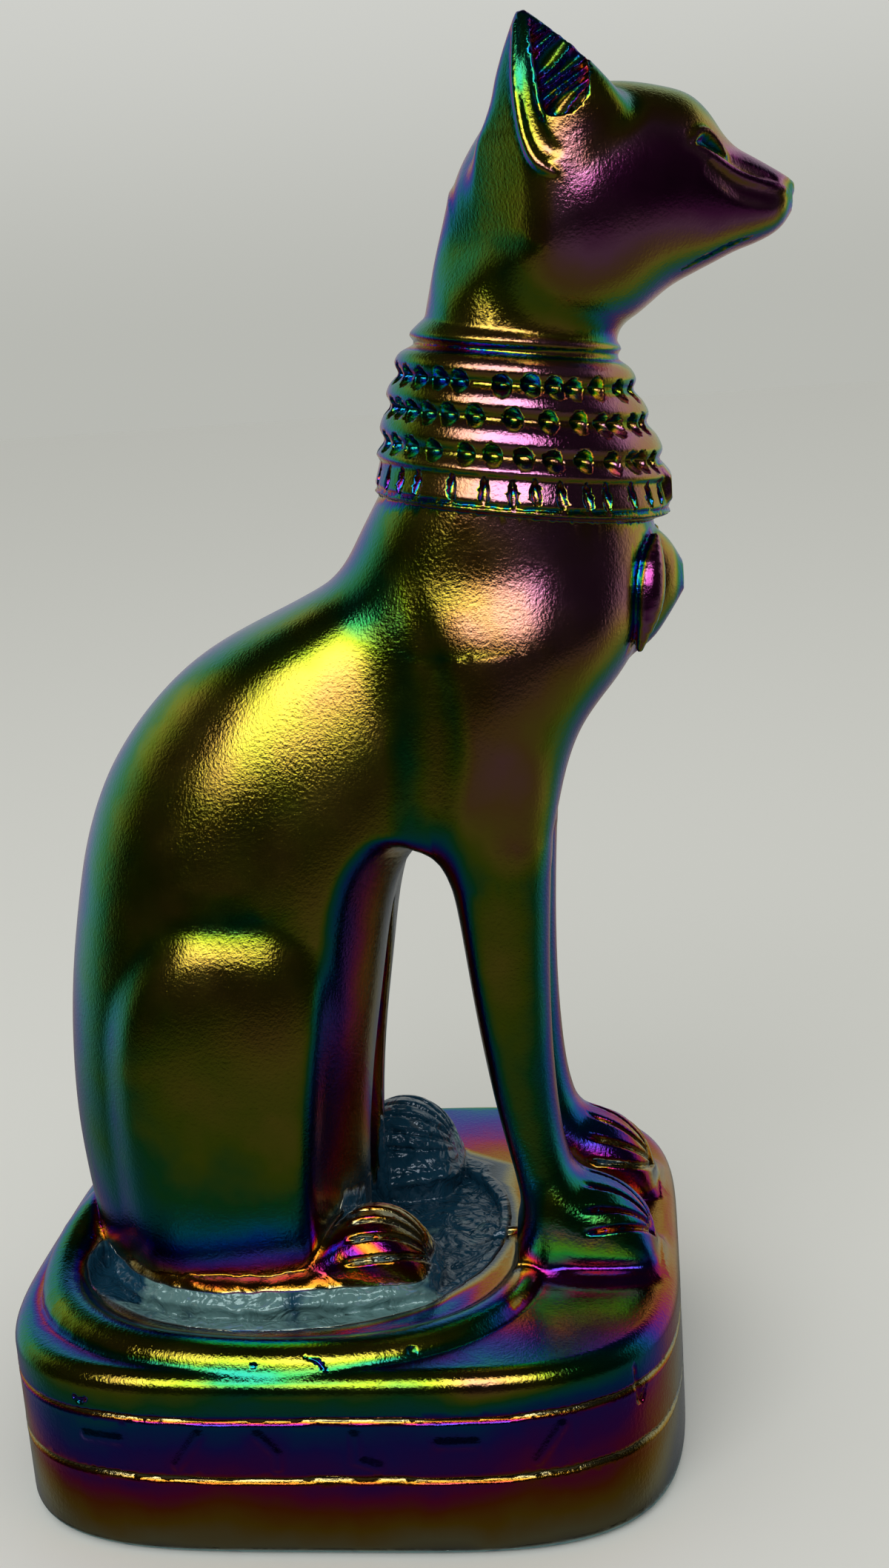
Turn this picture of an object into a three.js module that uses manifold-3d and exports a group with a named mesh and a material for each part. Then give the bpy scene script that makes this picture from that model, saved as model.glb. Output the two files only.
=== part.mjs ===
// A seated temple cat with a broad bead collar, on a low plinth with rounded corners.
// Cat and plinth are one casting in dark glass, with a thin rainbow metal lustre on its skin.
// Millimetres. +X is the way the cat faces, +Y its left side, +Z up.
// Origin: the middle of the plinth's underside.

import * as THREE from 'three';
import { mergeVertices } from 'three/addons/utils/BufferGeometryUtils.js';
import Module from 'manifold-3d';

const wasm = await Module();
wasm.setup();

// Plinth
const PLINTH_LENGTH = 74;
const PLINTH_DEPTH = 65.4;
const PLINTH_HEIGHT = 20.7;
const PLINTH_SQUARENESS = 4; // exponent of the plan's curve: 2 is an ellipse, more is squarer
const RIM_RADIUS = 3.4; // rounding between the plinth's side and its top
const FOOT_RADIUS = 1.4; // rounding between the plinth's side and its underside
const LOWER_GROOVE_HEIGHT = 9.1;
const UPPER_GROOVE_HEIGHT = 15.9;
const GROOVE_WIDTH = 1.1;
const GROOVE_DEPTH = 0.6;
const SIGN_COUNT = 6; // shallow strokes in the band between the grooves, on each long side
const SIGN_HEIGHT = 3.6;
const SIGN_WIDTH = 0.8;
const SIGN_RELIEF = 0.35;
const BASIN_DEPTH = 1.5; // the sunk floor around the cat's hind quarters

// Cat. Its forms below are in hundredths of this height, measured from the top of the plinth.
const CAT_HEIGHT = 129.3;

// Collar
const BEADS_PER_ROW = 20; // pits in each of the three rows, and slots in the row below them
const PIT_DEPTH = 0.85;
const SLOT_DEPTH = 0.6;
const RIDGE_RELIEF = 0.4;

// Paws
const TOE_GROOVE_DEPTH = 0.9;

const share = CAT_HEIGHT / 100;
const TAU = Math.PI * 2;
const SIDES = [-1, 1]; // the cat's right side and its left
const X = new THREE.Vector3(1, 0, 0);
const Y = new THREE.Vector3(0, 1, 0);
const Z = new THREE.Vector3(0, 0, 1);

// The smooth value of each column of a table of stations at the place t of its first column.
function between(stations, t) {
  let i = 1;
  while (i < stations.length - 1 && stations[i][0] < t) i++;
  const [a, b] = [stations[i - 1], stations[i]];
  const before = stations[Math.max(i - 2, 0)];
  const after = stations[Math.min(i + 1, stations.length - 1)];
  const span = b[0] - a[0];
  const s = THREE.MathUtils.clamp((t - a[0]) / span, 0, 1);
  return a.slice(1).map((from, k) => {
    const to = b[k + 1];
    const slopeIn = ((to - before[k + 1]) / (b[0] - before[0])) * span;
    const slopeOut = ((after[k + 1] - from) / (after[0] - a[0])) * span;
    const turn = slopeIn + slopeOut - 2 * (to - from);
    const bend = 3 * (to - from) - 2 * slopeIn - slopeOut;
    return from + s * (slopeIn + s * (bend + s * turn));
  });
}

function steps(from, to, count) {
  return Array.from({ length: count + 1 }, (_, i) => from + ((to - from) * i) / count);
}

// A closed oval of points around a centre: squareness 2 is an ellipse, more is squarer.
function oval(centre, right, up, sides, squareness = 2) {
  return steps(0, TAU, sides).slice(0, -1).map((angle) => {
    const across = Math.sign(Math.cos(angle)) * Math.abs(Math.cos(angle)) ** (2 / squareness);
    const along = Math.sign(Math.sin(angle)) * Math.abs(Math.sin(angle)) ** (2 / squareness);
    return centre.clone().addScaledVector(right, across).addScaledVector(up, along);
  });
}

// A solid skinned over rings of points, with a middle point closing each end. Each four-cornered
// field is split along the diagonal that stands further out, which keeps dents small and clear.
function loft(rings) {
  const sides = rings[0].length;
  const middle = (ring) => ring.reduce((sum, p) => sum.add(p), new THREE.Vector3()).divideScalar(ring.length);
  const points = [...rings.flat(), middle(rings[0]), middle(rings.at(-1))];
  const last = (rings.length - 1) * sides;
  const faces = [];
  for (let r = 0; r < last; r += sides) {
    const axis = middle(points.slice(r, r + 2 * sides));
    const reach = (a, b) => middle([points[a], points[b]]).distanceTo(axis);
    for (let i = 0; i < sides; i++) {
      const [a, b] = [r + i, r + ((i + 1) % sides)];
      const [c, d] = [b + sides, a + sides];
      if (reach(a, c) > reach(b, d)) faces.push(a, b, c, a, c, d);
      else faces.push(a, b, d, b, c, d);
    }
  }
  for (let i = 0; i < sides; i++) {
    const j = (i + 1) % sides;
    faces.push(last + sides, j, i, last + sides + 1, last + i, last + j);
  }
  const geometry = new THREE.BufferGeometry().setFromPoints(points);
  geometry.setIndex(faces);
  return solid(geometry);
}

function solid(geometry) {
  const merged = mergeVertices(geometry, 1e-4);
  return new wasm.Manifold(new wasm.Mesh({
    numProp: 3,
    vertProperties: new Float32Array(merged.attributes.position.array),
    triVerts: new Uint32Array(merged.index.array),
  }));
}

function surface(manifold) {
  const { vertProperties, triVerts } = manifold.getMesh();
  const geometry = new THREE.BufferGeometry();
  geometry.setAttribute('position', new THREE.BufferAttribute(vertProperties, 3));
  geometry.setIndex(new THREE.BufferAttribute(triVerts, 1));
  geometry.computeVertexNormals();
  return geometry;
}

// A point of the cat, in hundredths of its height from the middle of the plinth's top.
function at(x, y, z) {
  return new THREE.Vector3(x * share, y * share, PLINTH_HEIGHT + z * share);
}

// A level slice of the cat, from its rear to its front.
function slice(height, rear, front, halfWidth, middle, sides, squareness) {
  const length = ((front - rear) / 2) * share;
  return oval(at((rear + front) / 2, middle, height), X.clone().multiplyScalar(length),
    Y.clone().multiplyScalar(halfWidth * share), sides, squareness);
}

// An upright slice across the cat, from its low edge to its high edge.
function crossSlice(x, low, high, halfWidth, middle, sides, squareness) {
  const height = ((high - low) / 2) * share;
  return oval(at(x, middle, (low + high) / 2), Y.clone().multiplyScalar(halfWidth * share),
    Z.clone().multiplyScalar(height), sides, squareness);
}

// A rounded bar along points, with half its width and half its thickness in mm at each of them.
function bar(points, outward, halfWidths, halfHeights, sides = 6) {
  return loft(points.map((point, i) => {
    const ahead = points[Math.min(i + 1, points.length - 1)];
    const behind = points[Math.max(i - 1, 0)];
    const along = ahead.clone().sub(behind).normalize();
    const across = outward.clone().cross(along).normalize();
    const up = along.clone().cross(across).normalize();
    return oval(point, across.multiplyScalar(halfWidths[i]), up.multiplyScalar(halfHeights[i]), sides);
  }));
}

// The plinth's plan, drawn in from its side by an inset.
function plinthRing(height, inset, sides = 36) {
  return oval(new THREE.Vector3(0, 0, height), X.clone().multiplyScalar(PLINTH_LENGTH / 2 - inset),
    Y.clone().multiplyScalar(PLINTH_DEPTH / 2 - inset), sides, PLINTH_SQUARENESS);
}

function makePlinth() {
  const rings = [plinthRing(0, FOOT_RADIUS), plinthRing(FOOT_RADIUS, 0)];
  for (const height of [LOWER_GROOVE_HEIGHT, UPPER_GROOVE_HEIGHT]) {
    rings.push(plinthRing(height - GROOVE_WIDTH / 2, 0));
    rings.push(plinthRing(height, GROOVE_DEPTH));
    rings.push(plinthRing(height + GROOVE_WIDTH / 2, 0));
  }
  for (const angle of steps(0, Math.PI / 2, 3)) {
    const height = PLINTH_HEIGHT - RIM_RADIUS * (1 - Math.sin(angle));
    rings.push(plinthRing(height, RIM_RADIUS * (1 - Math.cos(angle))));
  }
  return loft(rings);
}

// Shallow strokes in the band between the two grooves: bars, slants, hooks and forks.
function makeSigns() {
  const middle = (LOWER_GROOVE_HEIGHT + UPPER_GROOVE_HEIGHT) / 2;
  const spacing = PLINTH_LENGTH / (SIGN_COUNT + 2);
  const strokes = [
    [[-1, 0.4], [1, 0.4]],
    [[-0.7, -1], [0.7, 1]],
    [[-1, 1], [0, -0.2], [0, -1]],
    [[-0.6, 1], [-0.6, -0.6], [0.6, -1]],
  ];
  const signs = [];
  for (const side of SIDES) {
    for (let i = 0; i < SIGN_COUNT; i++) {
      const place = (i - (SIGN_COUNT - 1) / 2) * spacing;
      const points = strokes[i % strokes.length].map(([across, up]) => {
        const x = place + (across * SIGN_HEIGHT) / 2;
        const reach = (1 - (2 * Math.abs(x) / PLINTH_LENGTH) ** PLINTH_SQUARENESS) ** (1 / PLINTH_SQUARENESS);
        return new THREE.Vector3(x, (side * reach * PLINTH_DEPTH) / 2, middle + (up * SIGN_HEIGHT) / 2);
      });
      const outward = Y.clone().multiplyScalar(side);
      signs.push(bar(points, outward, points.map(() => SIGN_WIDTH / 2), points.map(() => SIGN_RELIEF), 4));
    }
  }
  return signs;
}

// The sunk floor that the hind quarters sit in.
function makeBasin() {
  const [x, y, halfLength, halfDepth] = [-6, -1.5, 19.4, 18.4];
  const ring = (height, grow) => oval(at(x, y, height / share), X.clone().multiplyScalar(halfLength * share + grow),
    Y.clone().multiplyScalar(halfDepth * share + grow), 24, 2.5);
  return loft([ring(-BASIN_DEPTH, 0), ring(BASIN_DEPTH, BASIN_DEPTH)]);
}

// Back, belly and hips in one egg-like mass: height, rear, front, half-width.
function makeHaunches() {
  const stations = [
    [-1, -22.6, 3.2, 13.0],
    [7, -23.4, 5.0, 14.2],
    [15, -23.8, 6.4, 14.7],
    [25, -23.0, 7.4, 14.8],
    [35, -21.1, 11.6, 14.4],
    [40, -19.6, 14.0, 13.8],
    [45, -17.1, 15.6, 12.8],
    [50, -12.9, 16.4, 11.3],
    [54, -7.7, 17.0, 9.9],
    [57.5, 0.8, 17.0, 8.5],
    [61, 5.6, 17.0, 7.0],
  ];
  const heights = [-1, 5, 11, 17, 23, 29, 34, 38.5, 42.5, 46, 49, 51.5, 53.5, 55.3, 57, 58.8, 61];
  return loft(heights.map((height) => {
    const [rear, front, halfWidth] = between(stations, height);
    return slice(height, rear, front, halfWidth, 0, 26, 2.35);
  }));
}

// The folded thigh and shin of one hind leg, standing proud of the flank.
function makeThigh(side) {
  const stations = [
    [-1, -17, 0.4, 5.8],
    [5, -17.8, 1.4, 6.5],
    [14, -18, 2.0, 6.9],
    [24, -17.2, 2.2, 6.9],
    [30, -15, 1.4, 6.4],
    [33.4, -11.4, -1.2, 4.6],
    [34.4, -8.5, -4.8, 1.5],
  ];
  return loft([-1, 5, 12, 19, 25, 29, 31.6, 33.4, 34.4].map((height) => {
    const [rear, front, halfWidth] = between(stations, height);
    return slice(height, rear, front, halfWidth, side * 9.1, 16, 2.6);
  }));
}

// Breast, shoulders and neck in one column, from between the forelegs to under the skull.
function makeNeck() {
  const stations = [
    [37.6, 12.6, 17.4, 4.0],
    [39.6, 10.6, 19.6, 8.0],
    [42.5, 9.2, 20.6, 10.6],
    [46, 8.0, 22.4, 11.8],
    [49.5, 6.8, 25.6, 12.2],
    [54, 5.8, 28.3, 11.8],
    [58, 5.2, 29.1, 11.0],
    [62, 5.6, 29.0, 10.1],
    [66, 7.6, 28.2, 9.2],
    [71, 9.4, 27.0, 8.3],
    [77, 11.2, 26.6, 7.9],
    [82, 12.9, 25.4, 7.4],
    [87, 14.8, 23.0, 6.4],
  ];
  const heights = [37.6, 39.2, 41.5, 44.5, 48, 51.5, 55, 59, 63.4, 70, 76, 81, 87];
  return loft(heights.map((height) => {
    const [rear, front, halfWidth] = between(stations, height);
    return slice(height, rear, front, halfWidth, 0, 26, 2.2);
  }));
}

// One foreleg up into its shoulder: height, rear, front, middle and half-width.
function makeForeleg(side) {
  const stations = [
    [0, 15.2, 21, 6.6, 3.6],
    [6, 15.1, 20.6, 6.6, 3.4],
    [11, 14.0, 19.3, 6.5, 3.2],
    [18, 12.8, 18.8, 6.5, 3.3],
    [26, 11.7, 18.9, 6.5, 3.7],
    [34, 10.6, 19.4, 6.4, 4.3],
    [40, 8.6, 20.0, 6.2, 5.1],
    [46, 8.2, 21.2, 5.7, 5.6],
    [51, 9.0, 22.6, 5.2, 5.0],
  ];
  return loft([0, 4, 8, 12, 19, 27, 34, 40, 45.5, 51].map((height) => {
    const [rear, front, middle, halfWidth] = between(stations, height);
    return slice(height, rear, front, halfWidth, side * middle, 14, 2.3);
  }));
}

// The arch under the belly, flared towards both flanks: its outline in x and height.
function makeArch() {
  const outline = [
    [2.0, -2], [2.0, 7.2], [2.9, 16.5], [4.2, 24.2], [5.3, 30.4], [6.6, 34.4], [8.4, 36.8], [10.1, 36.9],
    [11.3, 34.6], [11.9, 28.8], [12.6, 21.1], [13.7, 13.4], [15.0, 7], [15.2, -2],
  ];
  const middle = 10.4;
  const ring = (y, flare, lift) => outline.map(([x, height]) =>
    at(x < middle ? x - flare : x, y, height + (height / 37) * lift));
  return loft([[-19, 5.4, 2.6], [-13.2, 4.1, 1.9], [-9.6, 1.7, 0.8], [-6.4, 0, 0], [6.4, 0, 0], [9.6, 1.7, 0.8],
    [13.2, 4.1, 1.9], [19, 5.4, 2.6]].map(([y, flare, lift]) => ring(y, flare, lift)));
}

// The hollow between the hind legs, open to the front and down to the plinth.
function makeHindGap() {
  const stations = [[-2, 4.2], [8, 3.9], [18, 3.4], [26, 2.2], [30, 0.5]]; // height and half-width
  return loft(stations.map(([height, halfWidth]) => slice(height, -7 + height / 4, 14, halfWidth, 0, 10, 2.2)));
}

// A paw with three grooves between its toes: place along the cat and height of its back.
function makePaw(side, middle, halfWidth, backline, toeStart) {
  const sides = 60;
  const grooves = [9, 15, 21]; // the points of the section that sink between the toes
  const kept = [0, 4, 8, 9, 10, 12, 14, 15, 16, 18, 20, 21, 22, 26, 30, 37, 45, 53];
  return loft(backline.map(([x, high], i) => {
    const tip = i === 0 || i === backline.length - 1 ? 0.72 : 1;
    const ring = crossSlice(x, -1.2, high, halfWidth * tip, side * middle, sides, 2.3);
    if (x > toeStart) {
      for (const k of grooves) ring[k].add(new THREE.Vector3(-0.5, 0, -1).multiplyScalar(TOE_GROOVE_DEPTH));
    }
    return kept.map((k) => ring[k]);
  }));
}

function makeHindFoot(side) {
  const backline = [[-16.6, 2.2], [-15.2, 3.4], [-8, 3.8], [-3, 4.4], [0, 6.4], [2.4, 7.7], [4.8, 7.7], [6.4, 6.4],
    [7.6, 3.9], [8.0, 1.2]];
  return makePaw(side, 11.2, 4.8, backline, 1);
}

function makeForePaw(side) {
  const backline = [[15, 4], [17.4, 9.2], [20.9, 7.6], [23.6, 6.4], [25.6, 4.7], [26.6, 2.8], [26.9, 0.6]];
  return makePaw(side, 6.6, 4.2, backline, 21);
}

// The collar: rows of pits between soft ridges, then a row of slots over a fine cord.
// Each line is a height, a swell out of the body of the collar, and the depth of the row's dents.
function makeCollar() {
  const body = [
    [63.4, 6.9, 29.9, 10.9],
    [66.9, 7.2, 30.1, 10.6],
    [69.6, 7.8, 29.5, 10.0],
    [72.2, 8.5, 28.5, 9.4],
    [74.8, 9.4, 27.6, 8.8],
    [76.4, 10.4, 27.0, 8.4],
  ];
  const rise = RIDGE_RELIEF / share;
  const profile = [
    [63.3, -1.2, 0], [63.6, 0.25, 0], [64.1, 0.3, 0], [64.5, 0, 0], [65.5, 0, SLOT_DEPTH], [66.6, 0, 0],
    [67.1, rise, 0], [68.2, -rise, PIT_DEPTH], [69.6, rise, 0], [70.9, -rise, PIT_DEPTH], [72.2, rise, 0],
    [73.5, -rise, PIT_DEPTH], [74.8, rise, 0], [76.4, -1.2, 0],
  ];
  const tilt = 0.1; // the collar falls this much for each unit towards the cat's front
  const middle = 18;
  const centre = at(middle, 0, 0);
  return loft(profile.map(([height, swell, dent], row) => {
    const [rear, front, halfWidth] = between(body, height);
    const ring = slice(height, rear - swell, front + swell, halfWidth + swell, 0, BEADS_PER_ROW * 2, 2.1);
    return ring.map((point, i) => {
      const inward = new THREE.Vector3(centre.x - point.x, -point.y, 0).normalize();
      if ((i + row) % 2) point.addScaledVector(inward, dent);
      point.z -= (point.x - centre.x) * tilt;
      return point;
    });
  }));
}

// A small winged beetle under a stepped plaque at the front of the collar.
function makePendant() {
  const plaque = loft([[27, 62.6, 65.2], [29.9, 62.9, 65.2], [30.6, 63.2, 65.0]].map(([x, low, high]) =>
    crossSlice(x, low, high, 3.2, 0, 12, 4)));
  const beetle = loft([[26, 50.5, 62.5, 4.4], [28.6, 52.4, 61.6, 3.8], [30.2, 54.6, 60.2, 2.7],
    [31.2, 56.2, 58.4, 1]].map(([x, low, high, halfWidth]) => crossSlice(x, low, high, halfWidth, 0, 14, 2.2)));
  const wings = SIDES.map((side) => {
    const points = [[29.0, 3.4, 60.4], [28.2, 5.6, 58.6], [27.6, 6.4, 55.6], [26.6, 6.2, 52.2]].map(([x, y, z]) =>
      at(x, side * y, z));
    return bar(points, new THREE.Vector3(1, side * 0.8, 0), [0.5, 1.7, 1.9, 0.4], [0.4, 0.9, 0.9, 0.4], 6);
  });
  return [plaque, beetle, ...wings];
}

// Skull and muzzle: place along the cat, low edge, high edge, half-width.
function makeHead() {
  const stations = [
    [13.9, 81.4, 85.4, 3.4],
    [15.8, 77.6, 89.6, 6.6],
    [18.6, 75.9, 92.6, 9.2],
    [21.7, 76.0, 94.3, 10.4],
    [24.7, 76.6, 95.1, 10.5],
    [27.8, 77.7, 95.2, 9.7],
    [30.9, 79.9, 94.6, 8.3],
    [33.3, 81.0, 93.7, 7.0],
    [35.1, 81.8, 91.8, 6.0],
    [37.1, 82.6, 89.8, 5.1],
    [39.1, 83.4, 88.4, 4.1],
    [40.2, 84.4, 87.6, 3.0],
    [40.7, 85.4, 86.8, 1.5],
  ];
  let head = loft(stations.map(([x, low, high, halfWidth]) => crossSlice(x, low, high, halfWidth, 0, 18, 2.5)));
  for (const side of SIDES) {
    const mouth = [[31.6, 80.7], [34.4, 81.7], [37.4, 82.9]].map(([x, z]) =>
      at(x, side * (3.6 + (37.4 - x) * 0.42), z));
    head = head.subtract(bar(mouth, new THREE.Vector3(0, side, -0.5), [0.35, 0.35, 0.35], [0.2, 1.1, 0.5], 4));
  }
  return head;
}

// Eyes under heavy lids, and the straight bridge that runs from them to the nose.
function makeFeatures(side) {
  const outward = new THREE.Vector3(0.5, side, 0.2);
  const eye = bar([at(32.3, side * 6.9, 88.7), at(33.9, side * 6.2, 89.0), at(35.6, side * 5.2, 88.2)],
    outward, [0.3, 1.35, 0.3], [0.3, 1.1, 0.3], 8);
  const lid = bar([at(31.4, side * 7.2, 89.4), at(33.2, side * 6.7, 90.8), at(35.2, side * 5.6, 90.0),
    at(36.4, side * 4.6, 88.4)], outward, [0.2, 0.6, 0.6, 0.3], [0.3, 0.9, 0.9, 0.5], 6);
  const bridge = bar([at(34.6, side * 4.9, 89.6), at(37.4, side * 3.7, 88.4), at(40.3, side * 2.0, 86.8)],
    outward, [0.5, 1.0, 0.7], [0.5, 1.0, 0.6], 6);
  return [eye, lid, bridge];
}

// An upright ear, open to the side, with ribs of hair in its hollow.
function makeEar(side) {
  const shell = [
    [84.5, 17.4, 27.6, 6.0, 2.8],
    [88.0, 16.8, 28.2, 6.9, 3.4],
    [91.0, 17.0, 27.6, 7.2, 3.1],
    [94.0, 18.1, 26.0, 7.2, 2.5],
    [97.0, 19.3, 23.8, 7.1, 1.8],
    [99.2, 20.2, 21.9, 6.9, 1.0],
    [100, 20.6, 21.2, 6.8, 0.4],
  ];
  let ear = loft(shell.map(([height, rear, front, middle, halfWidth]) =>
    slice(height, rear, front, halfWidth, side * middle, 12, 2)));
  const hollow = [
    [88.4, 20.8, 25.6, 12.4, 3.4],
    [93.0, 19.9, 25.6, 10.4, 2.6],
    [96.0, 20.4, 24.2, 9.3, 1.9],
    [98.8, 20.9, 22.0, 8.3, 0.9],
  ];
  ear = ear.subtract(loft(hollow.map(([height, rear, front, middle, halfWidth]) =>
    slice(height, rear, front, halfWidth, side * middle, 8, 2))));
  for (const level of steps(0, 1, 3)) {
    const low = at(20.9 + level * 0.4, side * (8.0 - level * 0.9), 90.6 + level * 6);
    const high = at(25.4 - level * 2.6, side * (8.3 - level * 0.7), 92.6 + level * 5.4);
    ear = ear.add(bar([low, high], Y.clone().multiplyScalar(side), [0.4, 0.4], [0.9, 0.9], 4));
  }
  return ear;
}

// The tail lies along the right edge of the plinth, from the rump to the heel of the forepaw.
function makeTail() {
  const route = [
    [0, -18.0, 3.0, 4.6],
    [1, -22.4, -2.2, 3.8],
    [2, -24.0, -8.8, 2.3],
    [3, -22.0, -15.6, 1.2],
    [4, -16.6, -20.6, 0.9],
    [5, -9.2, -22.6, 0.6],
    [6, -1.5, -23.0, 0.5],
    [7, 5.8, -21.6, 0.4],
    [8, 11.0, -18.3, 0.3],
    [9, 14.0, -14.0, 0.2],
    [10, 15.4, -9.4, 0.2],
    [11, 15.9, -5.4, 0],
  ];
  const points = steps(0, route.length - 1, 15).map((t) => at(...between(route, t)));
  const widths = points.map((_, i) => share * THREE.MathUtils.lerp(2.9, 2.2, i / points.length));
  widths[widths.length - 1] = 0.8 * share;
  return bar(points, Z, widths, widths.map((width) => width * 0.6), 8);
}

function makeCat() {
  const body = [makeHaunches(), makeNeck(), ...SIDES.map(makeThigh), ...SIDES.map(makeForeleg)];
  let cat = body.reduce((whole, form) => whole.add(form)).subtract(makeArch()).subtract(makeHindGap());
  const details = [makeHead(), makeTail(), makeCollar(), ...makePendant()];
  for (const side of SIDES) {
    details.push(makeHindFoot(side), makeForePaw(side), makeEar(side), ...makeFeatures(side));
  }
  for (const form of details) cat = cat.add(form);
  return cat;
}

let casting = makePlinth().subtract(makeBasin());
for (const form of [...makeSigns(), makeCat()]) casting = casting.add(form);

const lustre = new THREE.MeshStandardMaterial({ color: 0x3f4a2c, roughness: 0.28, metalness: 0.9 });
const cat = new THREE.Mesh(surface(casting), lustre);
cat.name = 'bastet_cat';

const group = new THREE.Group();
group.add(cat);
export default group;
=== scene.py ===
import math
import bpy
import numpy as np
from mathutils import Matrix, Vector


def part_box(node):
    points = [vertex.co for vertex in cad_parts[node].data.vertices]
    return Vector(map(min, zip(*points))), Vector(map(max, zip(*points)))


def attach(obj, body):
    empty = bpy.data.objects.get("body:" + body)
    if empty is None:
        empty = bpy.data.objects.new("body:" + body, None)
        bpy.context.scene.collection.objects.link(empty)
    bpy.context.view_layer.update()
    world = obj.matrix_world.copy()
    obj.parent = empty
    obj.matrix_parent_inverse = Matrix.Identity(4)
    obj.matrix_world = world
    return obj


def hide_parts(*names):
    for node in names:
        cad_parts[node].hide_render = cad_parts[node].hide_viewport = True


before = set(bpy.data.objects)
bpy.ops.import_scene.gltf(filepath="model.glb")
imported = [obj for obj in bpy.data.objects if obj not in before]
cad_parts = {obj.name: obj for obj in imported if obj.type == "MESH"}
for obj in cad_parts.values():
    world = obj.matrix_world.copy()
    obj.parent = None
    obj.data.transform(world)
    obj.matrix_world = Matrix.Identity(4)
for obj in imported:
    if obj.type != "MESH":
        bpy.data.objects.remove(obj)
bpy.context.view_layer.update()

# The camera stands close in front of the cat's right side, a little above its shoulders,
# and looks slightly down and to the left. Its lens is that of the photograph.
CAMERA_PLACE = (0.03562, -0.18791, 0.12043)
CAMERA_RIGHT = (0.9926, 0.0992, -0.0694)
CAMERA_UP = (0.0429, 0.2480, 0.9678)
CAMERA_BACK = (0.1132, -0.9637, 0.2419)
LENS_MM = 72
SENSOR_MM = 36
NEAREST_SEEN = 0.01

lens = bpy.data.cameras.new("camera")
lens.sensor_fit = "HORIZONTAL"
lens.sensor_width = SENSOR_MM
lens.lens = LENS_MM
lens.clip_start = NEAREST_SEEN
camera = bpy.data.objects.new("camera", lens)
bpy.context.scene.collection.objects.link(camera)
turn = Matrix((CAMERA_RIGHT, CAMERA_UP, CAMERA_BACK)).transposed()
camera.matrix_world = Matrix.Translation(CAMERA_PLACE) @ turn.to_4x4()
bpy.context.scene.camera = camera

# The floor is one wide sheet of pale grey paper. It lies flat under the plinth and reaches well
# past what the camera sees. The lustre doesn't mirror it.
FLOOR_HALF_SIZE = 3.0
FLOOR_GREY = (0.80, 0.80, 0.775, 1)
PAPER_ROUGHNESS = 0.9

floor_mesh = bpy.data.meshes.new("floor")
s = FLOOR_HALF_SIZE
floor_mesh.from_pydata([(-s, -s, 0), (s, -s, 0), (s, s, 0), (-s, s, 0)], [], [(0, 1, 2, 3)])
floor = bpy.data.objects.new("floor", floor_mesh)
bpy.context.scene.collection.objects.link(floor)
paper = bpy.data.materials.new("pale_paper")
paper.use_nodes = True
paper_skin = paper.node_tree.nodes["Principled BSDF"]
paper_skin.inputs["Base Color"].default_value = FLOOR_GREY
paper_skin.inputs["Roughness"].default_value = PAPER_ROUGHNESS
floor_mesh.materials.append(paper)
floor.visible_glossy = False

# The room: pale walls, and one broad soft box above and to the left of the camera, which lights
# the satin of the lustre. What the lustre mirrors is darker than what the camera sees: pale walls
# behind the cat, and darkness around the camera and overhead.
WALL_GREY = (0.63, 0.635, 0.602, 1)
WALL_FOOT = (0.480, 0.486, 0.450, 1)
WALL_GLOW = (0.42, 0.43, 0.41, 1)
DARK_GLOW = (0.008, 0.008, 0.008, 1)
FLOOR_GLOW = (0.075, 0.075, 0.075, 1)
SOFT_BOX_AWAY = 0.9
SOFT_BOX_TURN = math.radians(-10)
SOFT_BOX_LIFT = math.radians(36)
SOFT_BOX_SIZE = (0.86, 0.43)
SOFT_BOX_WATTS = 3.2
SOFT_BOX_AIM = Vector((0.0, 0.0, 0.08))
# Where one tone of the room fades into the next, along the direction of a ray.
BEHIND_FADE = (-0.15, 0.45)
BELOW_FADE = (0.12, 0.45)
BELOW_SHARE = 0.8
ABOVE_FADE = (0.52, 0.70)
WALL_FADE = (0.0, 0.22)


def node(tree, kind, **values):
    made = tree.nodes.new(kind)
    for name, value in values.items():
        setattr(made, name, value)
    return made


def feed(tree, socket, value):
    if isinstance(value, (int, float, tuple)):
        socket.default_value = value
    else:
        tree.links.new(value, socket)


def sum_node(tree, operation, *inputs, clamp=False):
    made = node(tree, "ShaderNodeMath", operation=operation, use_clamp=clamp)
    for socket, value in zip(made.inputs, inputs):
        feed(tree, socket, value)
    return made.outputs[0]


def soft_step(tree, value, low, high, start=0.0, end=1.0):
    made = node(tree, "ShaderNodeMapRange", interpolation_type="SMOOTHSTEP")
    for name, number in (("From Min", low), ("From Max", high), ("To Min", start), ("To Max", end)):
        made.inputs[name].default_value = number
    tree.links.new(value, made.inputs["Value"])
    return made.outputs["Result"]


def colour_mix(tree, share, first, second):
    made = node(tree, "ShaderNodeMix", data_type="RGBA")
    for socket, value in zip((made.inputs[0], made.inputs[6], made.inputs[7]), (share, first, second)):
        feed(tree, socket, value)
    return made.outputs[2]


room = bpy.data.worlds.new("room")
bpy.context.scene.world = room
room.use_nodes = True
air = room.node_tree
way = node(air, "ShaderNodeSeparateXYZ")
air.links.new(node(air, "ShaderNodeTexCoord").outputs["Generated"], way.inputs[0])
behind = soft_step(air, way.outputs["Y"], *BEHIND_FADE)
downward = sum_node(air, "MULTIPLY", way.outputs["Z"], -1.0)
below = soft_step(air, downward, *BELOW_FADE, 0.0, BELOW_SHARE)
above = soft_step(air, way.outputs["Z"], *ABOVE_FADE)
glow = colour_mix(air, behind, DARK_GLOW, WALL_GLOW)
glow = colour_mix(air, below, glow, FLOOR_GLOW)
glow = colour_mix(air, above, glow, DARK_GLOW)
wall = colour_mix(air, soft_step(air, way.outputs["Z"], *WALL_FADE), WALL_FOOT, WALL_GREY)
seen = node(air, "ShaderNodeLightPath")
mirrored = colour_mix(air, seen.outputs["Is Glossy Ray"], wall, glow)
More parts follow.
